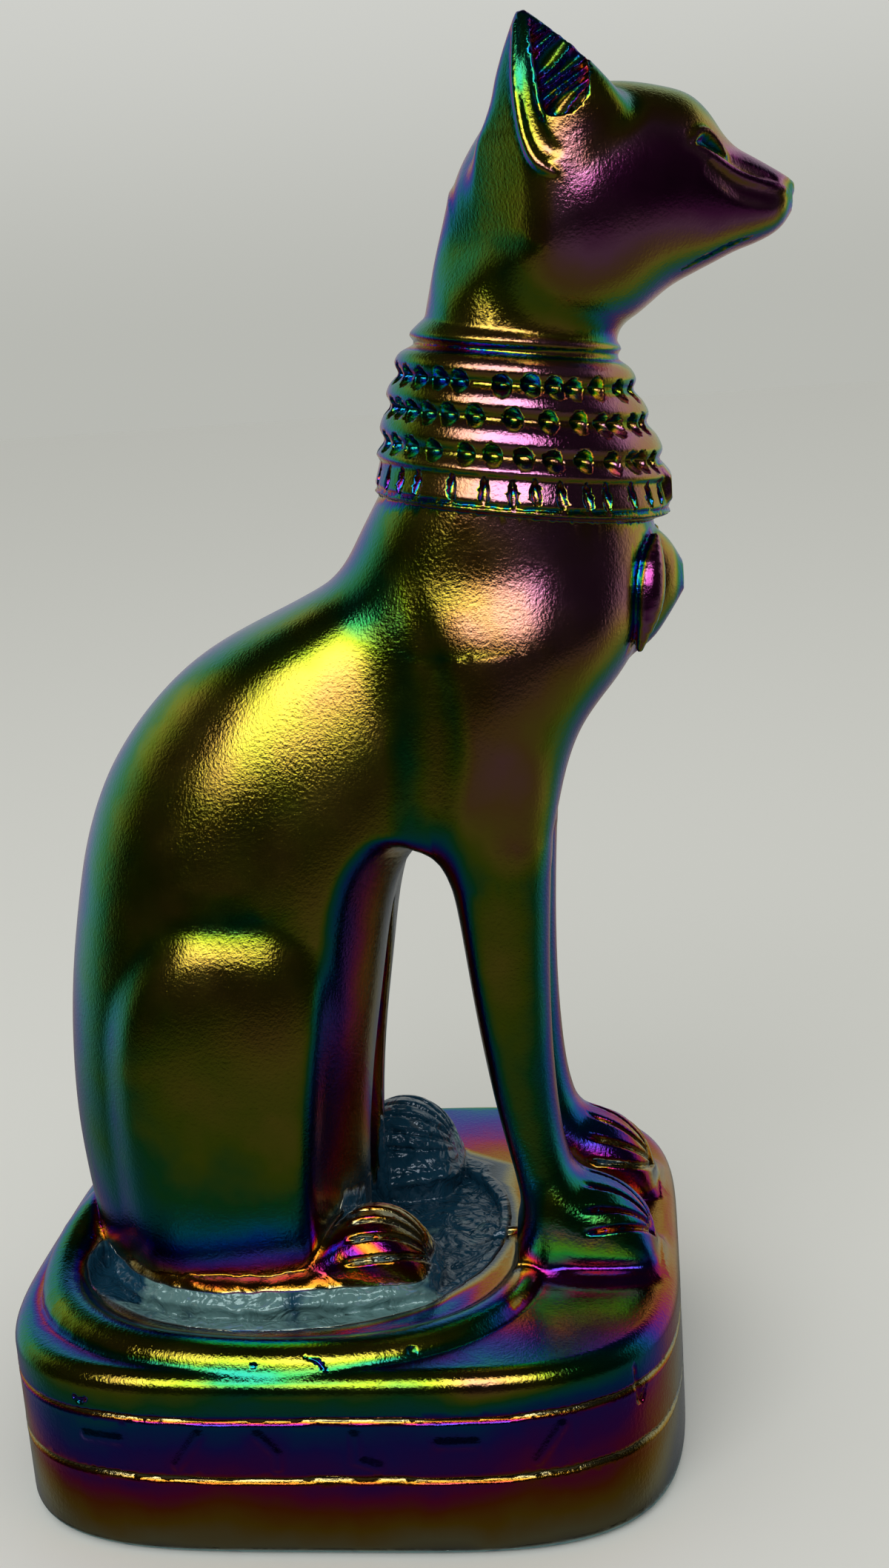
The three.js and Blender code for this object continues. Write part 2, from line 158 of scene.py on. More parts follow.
air.links.new(mirrored, air.nodes["Background"].inputs["Color"])

box_light = bpy.data.lights.new("soft_box", "AREA")
box_light.shape = "RECTANGLE"
box_light.size, box_light.size_y = SOFT_BOX_SIZE
box_light.energy = SOFT_BOX_WATTS
soft_box = bpy.data.objects.new("soft_box", box_light)
bpy.context.scene.collection.objects.link(soft_box)
box_way = Vector((math.sin(SOFT_BOX_TURN) * math.cos(SOFT_BOX_LIFT),
                  -math.cos(SOFT_BOX_TURN) * math.cos(SOFT_BOX_LIFT), math.sin(SOFT_BOX_LIFT)))
soft_box.location = SOFT_BOX_AIM + box_way * SOFT_BOX_AWAY
soft_box.rotation_euler = box_way.to_track_quat("Z", "Y").to_euler()
bpy.context.scene.view_settings.view_transform = "Standard"


# The whole figure is one casting of dark glass. It is modelled here as one body: every form adds to
# it or cuts from it, as far as the nearest surface, and neighbours run into each other softly.
# Lengths are in hundredths of the cat's height above its plinth, as the moulder would divide it.
low_corner, high_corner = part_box("bastet_cat")
PLINTH_SHARE = 0.138  # of the whole height
PLINTH_TOP = (high_corner.z - low_corner.z) * PLINTH_SHARE
UNIT = (high_corner.z - PLINTH_TOP) / 100
MM = 0.001 / UNIT  # a millimetre in these lengths
FAR = 1000.0  # farther off than anything
MARGIN = 1.2  # how far outside its box a form still counts
TINY = 1e-9
LEAST_RATIO = 1e-6
LEAST_REACH = 0.02

forms = []


def add(shape, low, high, soft, paired=False):
    forms.append((shape, low, high, soft, paired, False))


def cut(shape, low, high, soft, paired=False):
    forms.append((shape, low, high, soft, paired, True))


def soft_min(a, b, soft):
    overlap = np.maximum(soft - np.abs(a - b), 0) / soft
    return np.minimum(a, b) - overlap * overlap * soft / 4


def soft_max(a, b, soft):
    return -soft_min(-a, -b, soft)


def inside_box(x, y, z, low, high, reach):
    picked = (x > low[0] - reach) & (x < high[0] + reach)
    picked &= (y > low[1] - reach) & (y < high[1] + reach)
    picked &= (z > low[2] - reach) & (z < high[2] + reach)
    return np.flatnonzero(picked)


def distance(x, y, z):
    whole = np.full(len(x), FAR)
    for shape, low, high, soft, paired, is_cut in forms:
        across = np.abs(y) if paired else y
        near = inside_box(x, across, z, low, high, soft + MARGIN)
        own = shape(x[near], across[near], z[near])
        if is_cut:
            whole[near] = soft_max(whole[near], -own, soft)
        else:
            whole[near] = soft_min(whole[near], own, soft)
    return whole


# A smooth curve through rows of numbers: the first of each row is the place, the rest its values.
def smooth_rows(rows, ease=0.6, count=600):
    places, *columns = np.array(rows, float).T
    fine = np.linspace(places[0], places[-1], count)
    step = fine[1] - fine[0]
    spot = np.clip(np.searchsorted(places, fine, side="right") - 1, 0, len(places) - 2)
    span = places[spot + 1] - places[spot]
    t = (fine - places[spot]) / span
    reach = max(int(3 * ease / step), 1)
    weights = np.exp(-0.5 * (np.arange(-reach, reach + 1) * step / ease) ** 2)
    weights /= weights.sum()
    lines = []
    for column in columns:
        slope = np.empty(len(places))
        slope[1:-1] = (column[2:] - column[:-2]) / (places[2:] - places[:-2])
        slope[0] = (column[1] - column[0]) / (places[1] - places[0])
        slope[-1] = (column[-1] - column[-2]) / (places[-1] - places[-2])
        rise = column[spot + 1] - column[spot]
        slope_in, slope_out = slope[spot] * span, slope[spot + 1] * span
        line = column[spot] + t * (slope_in + t * (3 * rise - 2 * slope_in - slope_out
                                                   + t * (slope_in + slope_out - 2 * rise)))
        before = line[0] - slope[0] * step * np.arange(reach, 0, -1)
        after = line[-1] + slope[-1] * step * np.arange(1, reach + 1)
        lines.append(np.convolve(np.concatenate([before, line, after]), weights, "valid"))
    return fine, lines


# A form stacked from rounded slices. Each row gives a place along the stack, then the slice's low
# edge, high edge and half-width there, and its middle if that isn't fixed.
def stacked(rows, squareness=2.0, middle=0.0, ease=0.6, open_ends=False):
    fine, lines = smooth_rows(rows, ease)
    slopes = [np.gradient(line, fine) for line in lines]

    def shape(run, a, b):
        low, high, half = (np.interp(run, fine, line) for line in lines[:3])
        d_low, d_high, d_half = (np.interp(run, fine, line) for line in slopes[:3])
        centre = np.interp(run, fine, lines[3]) if len(lines) > 3 else middle
        u, v = a - (low + high) / 2, b - centre
        radial = np.hypot(u, v) + TINY
        reach = np.maximum((high - low) / 2, LEAST_REACH)
        half = np.maximum(half, LEAST_REACH)
        ratio = np.abs(u / reach) ** squareness + np.abs(v / half) ** squareness
        ratio = np.maximum(ratio ** (1 / squareness), LEAST_RATIO)
        cos, sin = u / radial, v / radial
        slope = cos * (d_low + d_high) / 2 + cos * cos * (d_high - d_low) / 2 + sin * sin * d_half
        side = radial * (1 - 1 / ratio) / np.sqrt(1 + slope * slope)
        if open_ends:
            return side
        return np.maximum(side, np.maximum(fine[0] - run, run - fine[-1]))

    return shape


# Back, belly and hips are one egg-like mass, widest low down. Legs, neck and tail grow out of it.
HAUNCH_ROWS = [
    (-1, -22.6, 3.2, 13.0),
    (7, -23.4, 5.0, 14.2),
    (15, -23.8, 6.4, 14.7),
    (25, -23.0, 7.4, 14.8),
    (35, -21.1, 11.6, 14.4),
    (40, -19.6, 14.0, 13.8),
    (45, -17.1, 15.6, 12.8),
    (50, -12.9, 16.4, 11.3),
    (54, -7.7, 17.0, 9.9),
    (57.5, 0.8, 17.0, 8.5),
    (61, 5.9, 17.0, 7.2),
    (64, 8.6, 17.0, 5.6),
    (67, 11.4, 17.0, 3.6),
]
haunch_slices = stacked(HAUNCH_ROWS, squareness=2.3, ease=1.4)
add(lambda x, y, z: haunch_slices(z, x, y), (-24, -15, -1), (17, 15, 67), 1.0)

# The folded thigh and shin of each hind leg stand proud of the flank, with a domed knee on top.
THIGH_ROWS = [
    (-1, -17, 0.0, 4.6),
    (2.5, -17.4, 0.9, 5.6),
    (6, -17.8, 1.6, 6.4),
    (14, -18, 2.1, 7.1),
    (22, -17.6, 2.4, 7.4),
    (26, -16.8, 2.3, 7.3),
    (29, -15.4, 1.8, 6.9),
    (31.4, -13.6, 0.9, 6.2),
    (33.2, -11.4, -0.6, 5.0),
    (34.2, -9.2, -2.6, 3.4),
    (34.7, -7.6, -5.0, 1.2),
]
THIGH_MIDDLE = 9.1
thigh_slices = stacked(THIGH_ROWS, squareness=2.7, middle=THIGH_MIDDLE, ease=0.5)
add(lambda x, y, z: thigh_slices(z, x, y), (-18, 1.5, -1), (3, 17, 35), 0.9, paired=True)

# Breast, shoulders and neck: one column from between the forelegs to under the skull.
NECK_ROWS = [
    (37.6, 12.6, 17.4, 4.0),
    (39.6, 10.6, 19.6, 8.0),
    (42.5, 9.2, 20.6, 10.6),
    (46, 8.0, 22.4, 12.0),
    (49.5, 6.8, 25.6, 12.7),
    (54, 5.8, 28.3, 12.5),
    (57, 5.3, 29.0, 11.6),
    (59.5, 5.3, 29.1, 10.9),
    (62, 5.6, 29.0, 10.7),
    (66, 7.6, 28.2, 10.3),
    (71, 9.4, 27.0, 8.3),
    (77, 11.1, 26.6, 7.9),
    (80, 11.9, 26.2, 7.6),
    (82.4, 12.5, 25.4, 7.2),
    (86, 13.6, 23.4, 6.4),
    (89.5, 15.2, 22.6, 5.4),
    (92.5, 17.2, 21.6, 4.4),
]
neck_slices = stacked(NECK_ROWS, squareness=2.15, ease=1.1)
add(lambda x, y, z: neck_slices(z, x, y), (5, -13, 37), (30, 13, 92.5), 4.0)

# Each foreleg runs up into its shoulder. The last value of a row is the leg's middle.
FORELEG_ROWS = [
    (-1, 15.2, 21, 3.6, 6.6),
    (6, 15.1, 20.6, 3.4, 6.6),
    (11, 14.0, 19.3, 3.2, 6.5),
    (18, 12.8, 18.8, 3.3, 6.5),
    (26, 11.7, 18.9, 3.7, 6.5),
    (34, 10.6, 19.4, 4.3, 6.4),
    (40, 8.6, 20.0, 5.1, 6.2),
    (46, 8.2, 21.2, 5.6, 5.7),
    (51, 9.0, 22.6, 5.0, 5.2),
]
foreleg_slices = stacked(FORELEG_ROWS, squareness=2.3, ease=1.2)
add(lambda x, y, z: foreleg_slices(z, x, y), (8, 0, -1), (23, 12, 51), 3.0, paired=True)


# The signed distance to a closed outline: below zero inside it.
def outline_distance(a, b, outline):
    nearest = np.full(len(a), FAR)
    crossings = np.zeros(len(a), int)
    for (a0, b0), (a1, b1) in zip(outline, outline[1:] + outline[:1]):
        run = (a - a0) * (a1 - a0) + (b - b0) * (b1 - b0)
        along = np.clip(run / ((a1 - a0) ** 2 + (b1 - b0) ** 2), 0, 1)
        nearest = np.minimum(nearest, np.hypot(a - a0 - along * (a1 - a0), b - b0 - along * (b1 - b0)))
        if b0 != b1:
            between = (b > min(b0, b1)) & (b <= max(b0, b1))
            crossings += between & (a < a0 + (b - b0) * (a1 - a0) / (b1 - b0))
    return np.where(crossings % 2, -nearest, nearest)


ROUTE_EASE = 0.25  # of the way from one point of a route to the next


def smooth_outline(outline, closed=True, steps=4):
    points = outline + outline[:3] if closed else outline
    rows = [(i, *point) for i, point in enumerate(points)]
    fine, (a, b) = smooth_rows(rows, ROUTE_EASE, (len(points) - 1) * steps + 1)
    if closed:
        a, b = a[steps:-2 * steps], b[steps:-2 * steps]
    return [(float(p), float(q)) for p, q in zip(a, b)]


# The arch under the belly flares towards both flanks.
ARCH_OUTLINE = [
    (2.0, -3), (2.0, 7.2), (2.9, 16.5), (4.2, 24.2), (5.3, 30.4), (6.6, 34.4), (8.4, 36.8), (10.1, 36.9),
    (11.3, 34.6), (11.9, 28.8), (12.6, 21.1), (13.7, 13.4), (15.0, 7), (15.2, -3),
]
ARCH_TOP = 37.0
ARCH_FLARE_ROWS = [(0, 0, 0), (5.5, 0, 0), (9.6, 1.5, 0.8), (13.2, 3.0, 1.9), (19, 3.7, 2.6)]
ARCH_MIDDLE = 10.4
ARCH_TURN = 4
flare_places, (flare_line, lift_line) = smooth_rows(ARCH_FLARE_ROWS, 0.8)
arch_curve = smooth_outline(ARCH_OUTLINE, closed=False)


def arch(x, y, z):
    rear = np.clip((ARCH_MIDDLE - x) / ARCH_TURN + 0.5, 0, 1)
    rear = rear * rear * (3 - 2 * rear)
    moved = x + np.interp(np.abs(y), flare_places, flare_line) * rear
    lowered = z / (1 + np.interp(np.abs(y), flare_places, lift_line) / ARCH_TOP)
    return outline_distance(moved, lowered, arch_curve)


cut(arch, (-4, -19, -3), (16, 19, 40), 1.2)

# The hollow between the hind legs is open to the front.
HIND_GAP_ROWS = [
    (-2, -7.5, 14, 4.2),
    (8, -5, 14, 3.9),
    (18, -2.5, 14, 3.4),
    (26, -0.5, 14, 2.2),
    (30, 0.5, 14, 0.5),
]
gap_slices = stacked(HIND_GAP_ROWS, squareness=2.2)
cut(lambda x, y, z: gap_slices(z, x, y), (-8, -5, -2), (14, 5, 30), 1.0)

# The plinth is a low block with rounded corners, rim and foot, and two grooves around it. An oval
# basin is sunk in its top, around the cat's feet, and its floor is wrinkled.
PLINTH_HALF_LENGTH = 36.9 * MM
PLINTH_HALF_DEPTH = 32.7 * MM
PLINTH_SQUARENESS = 4
PLINTH_DEEP = PLINTH_TOP / UNIT
RIM_RADIUS = 2.1 * MM
FOOT_RADIUS = 1.4 * MM
GROOVE_HEIGHTS = (-4.8 * MM, -11.6 * MM)
GROOVE_HALF_WIDTH = 0.27 * MM
GROOVE_DEPTH = 0.45 * MM
GROOVE_LIP = 0.22  # of the groove's depth
GROOVE_LIP_SPREAD = 2.2  # of the groove's width
BASIN = (-6.7, -0.5, 19.3, 16.6)  # its middle, half-length and half-depth
BASIN_SQUARENESS = 2.2
BASIN_DEPTH = 1.3 * MM
BASIN_EDGE = 0.6
WRINKLE_HEIGHT = 0.1


def rounded_oval(x, y, half_length, half_depth, squareness):
    radial = np.hypot(x, y) + TINY
    ratio = np.abs(x / half_length) ** squareness + np.abs(y / half_depth) ** squareness
    return radial * (1 - 1 / np.maximum(ratio ** (1 / squareness), LEAST_RATIO))


def rounded_edge(side, end, radius):
    a, b = side + radius, end + radius
    return np.hypot(np.maximum(a, 0), np.maximum(b, 0)) + np.minimum(np.maximum(a, b), 0) - radius


def plinth(x, y, z):
    side = rounded_oval(x, y, PLINTH_HALF_LENGTH, PLINTH_HALF_DEPTH, PLINTH_SQUARENESS)
    wander = 0.09 * np.sin(0.33 * x + 0.9 * np.sin(0.21 * y)) + 0.05 * np.sin(1.1 * x + 0.7 * y)
    for height in GROOVE_HEIGHTS:
        off = (z - height - wander) / GROOVE_HALF_WIDTH
        lip = GROOVE_LIP * np.exp(-(off / GROOVE_LIP_SPREAD) ** 2)
        side = side + GROOVE_DEPTH * (np.exp(-off * off) - lip)
    top_edge = rounded_edge(side, z, RIM_RADIUS)
    foot_edge = rounded_edge(side, -PLINTH_DEEP - z, FOOT_RADIUS)
    whole = np.maximum(top_edge, foot_edge)
    basin = rounded_oval(x - BASIN[0], y - BASIN[1], BASIN[2], BASIN[3], BASIN_SQUARENESS)
    wrinkle = np.sin(1.5 * x + 1.9 * np.sin(0.8 * y)) * np.sin(1.3 * y + 1.6 * np.sin(0.7 * x))
    hollow = np.maximum(basin, -BASIN_DEPTH - z + WRINKLE_HEIGHT * wrinkle)
    return soft_max(whole, -hollow, BASIN_EDGE)


add(plinth, (-29, -26, -17), (29, 26, 1), 0.8)


# A rounded bar along a route. Each row is a point (x, y, z) and the bar's half-width there.
# flat is its height as a share of its width.
def bar(rows, flat=1.0, steps=4):
    numbered = [(i, *row) for i, row in enumerate(rows)]
    fine, lines = smooth_rows(numbered, ROUTE_EASE, (len(rows) - 1) * steps + 1)
    points = np.array(lines).T

    def shape(x, y, z):
        best = np.full(len(x), FAR)
        for (x0, y0, z0, r0), (x1, y1, z1, r1) in zip(points[:-1], points[1:]):
            dx, dy, dz = x1 - x0, y1 - y0, (z1 - z0) / flat
            px, py, pz = x - x0, y - y0, (z - z0) / flat
            t = np.clip((px * dx + py * dy + pz * dz) / (dx * dx + dy * dy + dz * dz), 0, 1)
            gap = np.sqrt((px - t * dx) ** 2 + (py - t * dy) ** 2 + (pz - t * dz) ** 2)
            best = np.minimum(best, gap - r0 - t * (r1 - r0))
        return best * min(flat, 1)

    return shape


def bar_box(rows):
    points = np.array(rows, float)
    widest = points[:, 3].max()
    return points[:, :3].min(0) - widest, points[:, :3].max(0) + widest


def add_bar(rows, soft, flat=1.0, paired=True):
    add(bar(rows, flat), *bar_box(rows), soft, paired)


def cut_bar(rows, soft, paired=True):
    cut(bar(rows), *bar_box(rows), soft, paired)


# Moves the points of a route on to the body as it is so far, or a little proud of it.
SETTLE_ROUNDS = 4
NUDGE = 0.05  # the step that a slope is measured over


def settle(rows, proud=0.0):
    rows = np.array(rows, float)
    for _ in range(SETTLE_ROUNDS):
        here = rows[:, :3]
        off = distance(*here.T) - proud
        asides = np.eye(3) * NUDGE
        sides = np.array([distance(*(here + aside).T) - proud - off for aside in asides]).T
        rows[:, :3] -= off[:, None] * sides / np.linalg.norm(sides, axis=1, keepdims=True)
    return [tuple(float(value) for value in row) for row in rows]


# A shallow valley parts the shoulder from the flank.
VALLEY_ROWS = [
    (9.0, 10.6, 62, -1.6),
    (10.2, 12.0, 55, -0.1),
    (10.8, 12.9, 49, 0.9),
    (10.4, 13.4, 44, 1.0),
    (9.8, 13.6, 39, 0.2),
]
cut_bar(settle(VALLEY_ROWS, 1.4), 3.0)

# The tail lies along the right edge of the plinth, from the rump to the heel of the forepaw: a low
# crest near the rim, with a long slope down to the basin, and a small lip across its tip.
TAIL_ROWS = [
    (-18.0, 3.0, 3.6, 2.8),
    (-22.6, -2.2, 2.4, 2.6),
    (-24.3, -8.8, 0.7, 2.2),
    (-22.4, -15.4, -0.1, 2.1),
    (-16.8, -20.0, -0.4, 2.05),
    (-9.4, -22.0, -0.45, 2.05),
    (-1.5, -22.4, -0.45, 2.0),
    (5.8, -21.2, -0.55, 2.0),
    (11.2, -18.2, -0.6, 1.9),
    (14.4, -14.2, -0.65, 1.8),
    (15.8, -9.6, -0.65, 1.6),
    (15.9, -5.4, -0.6, 1.3),
    (14.8, -3.2, -0.6, 1.0),
]
TAIL_SLOPE_ROWS = [(-23.0, -8.0, -0.9, 2.6), (-20.5, -13.4, -1.1, 3.1), (-15.6, -17.8, -1.2, 3.3),
                   (-9, -19.6, -1.2, 3.4), (-1.5, -20.0, -1.2, 3.3), (4.8, -18.8, -1.2, 3.1),
                   (9.6, -15.8, -1.2, 2.9), (12.6, -12.0, -1.2, 2.7), (13.7, -8.4, -1.2, 2.4),
                   (13.8, -5.2, -1.2, 2.0)]
TAIL_LIP_ROWS = [(12.4, -3.0, 0.1, 0.25), (14.2, -2.8, 0.45, 0.4), (16.3, -3.4, 0.3, 0.3)]
add_bar(TAIL_ROWS, 0.4, paired=False)
add_bar(TAIL_SLOPE_ROWS, 1.2, flat=0.45, paired=False)
add_bar(TAIL_LIP_ROWS, 0.3, paired=False)

# Flaws of the casting and of its years: a chip on the tail, two on the plinth's rim, and three
# burst bubbles.
CHIP_ROUTES = [
    [(-0.9, -23.8, 1.0, 0.08), (0.0, -23.9, 0.8, 0.17), (0.7, -24.4, 0.3, 0.08)],
    [(26.2, -22.2, -3.6, 0.1), (26.5, -21.6, -3.8, 0.3), (26.7, -20.8, -4.2, 0.1)],
    [(-20.6, -25.0, -3.5, 0.1), (-19.9, -25.2, -3.7, 0.26), (-19.2, -25.3, -3.6, 0.1)],
]
BUBBLES = [(7.4, -22.6, 0.8, 0.5), (-11.6, -17.6, -0.6, 0.45), (-5.0, -24.3, 0.6, 0.3)]
for route in CHIP_ROUTES:
    cut_bar(settle(route), 0.1, paired=False)
for x, y, z, radius in BUBBLES:
    cut_bar(settle([(x, y, z, radius), (x + 0.1, y, z, radius)], radius * 0.6), 0.08, paired=False)

# Each hind foot rests on a long sole that runs back under the haunch. Its edge is a stack of small
# ledges over a raised, wavering line of glass.
SOLE_OUTLINE = [
    (-20.4, 5.4), (-20.4, 9.2), (-18.6, 12.4), (-15.2, 15.0), (-11.0, 16.5), (-7.0, 16.9), (-2.0, 16.4),
    (3.0, 15.9), (6.6, 14.6), (8.5, 12.0), (8.5, 8.0), (6.2, 5.2), (-2, 4.8), (-12, 4.8),
]
SOLE_STEPS = [
    (-1.2, 0.5), (0.4, 0.25), (1.0, -0.1), (1.35, -0.05), (1.75, 0.5), (2.1, 0.62), (2.4, 0.8),
    (2.8, 1.2), (3.2, 1.9),
]
SOLE_TOP = 3.3
SOLE_EDGE_RADIUS = 0.6
sole_curve = smooth_outline(SOLE_OUTLINE, steps=3)
step_places, (step_line,) = smooth_rows(SOLE_STEPS, 0.09)


def sole(x, y, z):
    wavy = z + 0.16 * np.sin(0.7 * x + 0.8 * np.sin(0.31 * x)) + 0.07 * np.sin(2.3 * x + 1)
    side = outline_distance(x, y, sole_curve) + np.interp(wavy, step_places, step_line)
    side = side + 0.08 * np.sin(1.9 * x + 2.2 * z + 1.4 * np.sin(0.9 * x))
    return rounded_edge(side, wavy - SOLE_TOP, SOLE_EDGE_RADIUS)


add(sole, (-21, 4, -1.6), (9, 17.2, 3.6), 0.3, paired=True)

# A forepaw stands on a thin rounded plate.
PLATE_OUTLINE = [
    (15.4, 4.6), (15.8, 8.4), (17.6, 10.6), (20.6, 11.5), (24, 11.6), (26.4, 10.4), (27.0, 7.6),
    (26.6, 4.4), (22, 3.0), (18, 3.2),
]
PLATE_TOP = 0.7
PLATE_EDGE_RADIUS = 0.55
plate_curve = smooth_outline(PLATE_OUTLINE, steps=3)


def plate(x, y, z):
    return rounded_edge(outline_distance(x, y, plate_curve), z - PLATE_TOP, PLATE_EDGE_RADIUS)


add(plate, (15, 2.8, -1), (27.3, 12, 0.8), 1.5, paired=True)

# The paws: a rounded back with crisp grooves between the toes. The grooves keep to fixed angles
# around the paw's core, counted from its outer side.
TOE_GROOVE_HALF_WIDTH = 0.25
TOE_GROOVE_DEPTH = 0.55
TOE_GROOVE_LIP = 0.2  # of the groove's depth
TOE_GROOVE_LIP_SPREAD = 2.5  # of the groove's width
TOE_GROOVE_TWIST = 1.5
TOE_GROOVE_FADES = (1.2, 0.8)  # behind and in front
HIND_PAW_ROWS = [
    (-3, -1.2, 4.0, 3.9),
    (0, -1.2, 5.9, 4.1),
    (2.4, -1.2, 6.8, 4.2),
    (4.6, -1.2, 6.5, 4.2),
    (6.2, -1.2, 5.4, 4.0),
    (7.5, -1.2, 3.7, 3.6),
    (8.3, -1.2, 1.4, 2.8),
]
HIND_TOE_ANGLES = (30, 52, 72, 92, 112, 132, 152)
HIND_PAW_MIDDLE = 11.0
FORE_PAW_ROWS = [
    (15, -1.2, 4, 3.4),
    (17.4, -1.2, 9.2, 4.0),
    (20.9, -1.2, 7.6, 4.3),
    (23.6, -1.2, 6.4, 4.2),
    (25.4, -1.2, 4.7, 3.9),
    (26.4, -1.2, 2.8, 3.3),
    (27.0, -1.2, 0.2, 2.2),
]
FORE_TOE_ANGLES = (31, 50, 74, 100, 125, 148)
FORE_PAW_MIDDLE = 6.6
CORE_HEIGHT = 1.8


def paw(rows, ease, middle, angles, first, last):
    slices = stacked(rows, squareness=2.3, middle=middle, ease=ease)

    def shape(x, y, z):
        value = slices(x, z, y)
        across, up = y - middle, z - CORE_HEIGHT
        radius = np.hypot(across, up)
        turned = np.degrees(np.arctan2(up, across)) - TOE_GROOVE_TWIST * (x - first)
        fade_in, fade_out = TOE_GROOVE_FADES
        window = np.clip((x - first) / fade_in, 0, 1) * np.clip((last - x) / fade_out, 0, 1)
        for angle in angles:
            off = np.radians(turned - angle) * radius / TOE_GROOVE_HALF_WIDTH
            lip = TOE_GROOVE_LIP * np.exp(-(off / TOE_GROOVE_LIP_SPREAD) ** 2)
            value = value + window * TOE_GROOVE_DEPTH * (np.exp(-off * off) - lip)
        return value

    return shape


hind_paw = paw(HIND_PAW_ROWS, 0.5, HIND_PAW_MIDDLE, HIND_TOE_ANGLES, 1.0, 8.6)
fore_paw = paw(FORE_PAW_ROWS, 0.4, FORE_PAW_MIDDLE, FORE_TOE_ANGLES, 20.6, 27.2)
add(hind_paw, (-3, 6, -2), (8.6, 16, 8), 0.5, paired=True)
add(fore_paw, (15, 2, -2), (27.2, 11, 10), 0.8, paired=True)

# Skull and muzzle. Rows run along the cat: low edge, high edge, half-width.
HEAD_ROWS = [
    (14.7, 79.8, 87.0, 3.4),
    (15.7, 77.8, 89.6, 4.9),
    (17.2, 76.5, 91.8, 6.6),
    (18.8, 75.9, 93.0, 8.2),
    (21.7, 76.0, 94.4, 10.2),
    (24.7, 76.6, 95.2, 10.5),
    (27.8, 77.7, 95.2, 9.7),
    (30.9, 79.9, 94.6, 8.3),
    (33.0, 80.9, 93.8, 7.1),
    (34.4, 81.5, 92.4, 6.3),
    (35.3, 81.9, 90.9, 5.8),
    (36.3, 82.3, 89.8, 5.2),
    (37.6, 82.7, 89.0, 4.6),
    (39.0, 83.3, 88.1, 3.8),
    (39.9, 84.0, 87.4, 3.0),
    (40.4, 84.8, 86.8, 1.9),
]
head_slices = stacked(HEAD_ROWS, squareness=2.2, ease=0.3)
add(lambda x, y, z: head_slices(x, z, y), (13.5, -11, 75), (40.6, 11, 96), 1.5)
NOSE_ROWS = [
    (38.4, 85.9, 88.2, 2.4), (39.6, 85.7, 87.6, 2.1), (40.3, 85.8, 87.2, 1.7),
    (40.55, 86.1, 86.9, 1.2),
]
nose_slices = stacked(NOSE_ROWS, squareness=2.8, ease=0.15)
add(lambda x, y, z: nose_slices(x, z, y), (38.4, -2.5, 85), (40.55, 2.5, 88.5), 0.4)

# A flat facet runs from the eye to the nose. Its lower edge is a raised line, and the cheek falls
# away under it.
FACET_LINE_ROWS = [
    (33.2, 7.2, 90.0, 0.2), (34.5, 6.2, 88.8, 0.34), (36.1, 5.1, 87.6, 0.34), (37.6, 4.2, 86.9, 0.3),
    (39.6, 3.0, 86.3, 0.2),
]
UNDER_LINE_ROWS = [
    (34.4, 6.6, 87.8, 0.5), (36.1, 5.4, 86.6, 0.8), (37.8, 4.4, 85.9, 0.8), (39.3, 3.6, 85.4, 0.5),
]
FACET_ROWS = [(35.8, 4.9, 88.6, 0.5), (37.2, 4.2, 87.7, 0.6), (38.6, 3.2, 87.1, 0.4)]
cut_bar(settle(UNDER_LINE_ROWS, 0.62), 0.7)
cut_bar(settle(FACET_ROWS, 0.42), 0.5)
add_bar(settle(FACET_LINE_ROWS, -0.1), 0.35)

# The eye is a narrow almond under a heavy upper lid.
UPPER_LID_ROWS = [
    (33.3, 6.8, 90.3, 0.15), (33.9, 6.5, 90.9, 0.34), (34.6, 5.9, 90.8, 0.4), (35.2, 5.4, 89.9, 0.32),
    (35.6, 5.2, 89.1, 0.15),
]
EYE_GAP_ROWS = [
    (33.5, 6.8, 90.0, 0.2), (34.2, 6.5, 90.1, 0.36), (34.9, 6.0, 89.6, 0.3), (35.4, 5.6, 89.1, 0.12),
]
cut_bar(settle(EYE_GAP_ROWS, 0.08), 0.2)
add_bar(settle(UPPER_LID_ROWS, 0.0), 0.25)

# The mouth is a slit under each side of the muzzle.
MOUTH_ROWS = [
    (32.0, 3.8, 80.7, 0.12), (34.1, 3.5, 81.5, 0.3), (35.8, 3.3, 82.2, 0.32), (37.3, 3.0, 82.6, 0.12),
]
cut_bar(settle(MOUTH_ROWS), 0.1)

# Each ear is upright and open to the side. A channel runs inside its rear rim; in front of that,
# slanting tufts of hair run out to the front edge.
EAR_ROWS = [
    (84.5, 16.4, 23.6, 2.8, 6.2),
    (88.0, 15.9, 25.2, 3.3, 6.9),
    (91.0, 16.5, 27.4, 3.0, 7.2),
    (92.4, 17.5, 28.0, 2.8, 7.3),
    (93.8, 18.2, 27.5, 2.6, 7.4),
    (95.4, 18.6, 26.2, 2.2, 7.5),
    (97.2, 19.2, 24.4, 1.8, 7.5),
    (98.2, 19.6, 23.1, 1.4, 7.5),
    (99.1, 20.0, 22.0, 0.9, 7.4),
    (99.8, 20.4, 21.1, 0.4, 7.3),
]
ear_slices = stacked(EAR_ROWS, squareness=2.3, ease=0.3)
add(lambda x, y, z: ear_slices(z, x, y), (15.5, 3, 84), (29, 11, 99.8), 1.6, paired=True)

# Behind the rim the ear and the skull fall away to the nape as one slanting plane.
NAPE_PLANE_ROWS = [
    (77, -3.5), (80, -5.4), (82, -6.8), (84, -7.7), (86, -7.7), (89, -7.45), (92, -7.25), (95, -7.6),
    (98.8, -8.7), (101, -9.2),
]
NAPE_LEAN = (0.7, -0.714)
plane_heights, (plane_places,) = smooth_rows(NAPE_PLANE_ROWS, 0.8)


def nape_side(x, y, z):
    return np.interp(z, plane_heights, plane_places) + NAPE_LEAN[0] * x + NAPE_LEAN[1] * y


cut(nape_side, (10, 2, 78), (24, 14, 101), 0.8, paired=True)

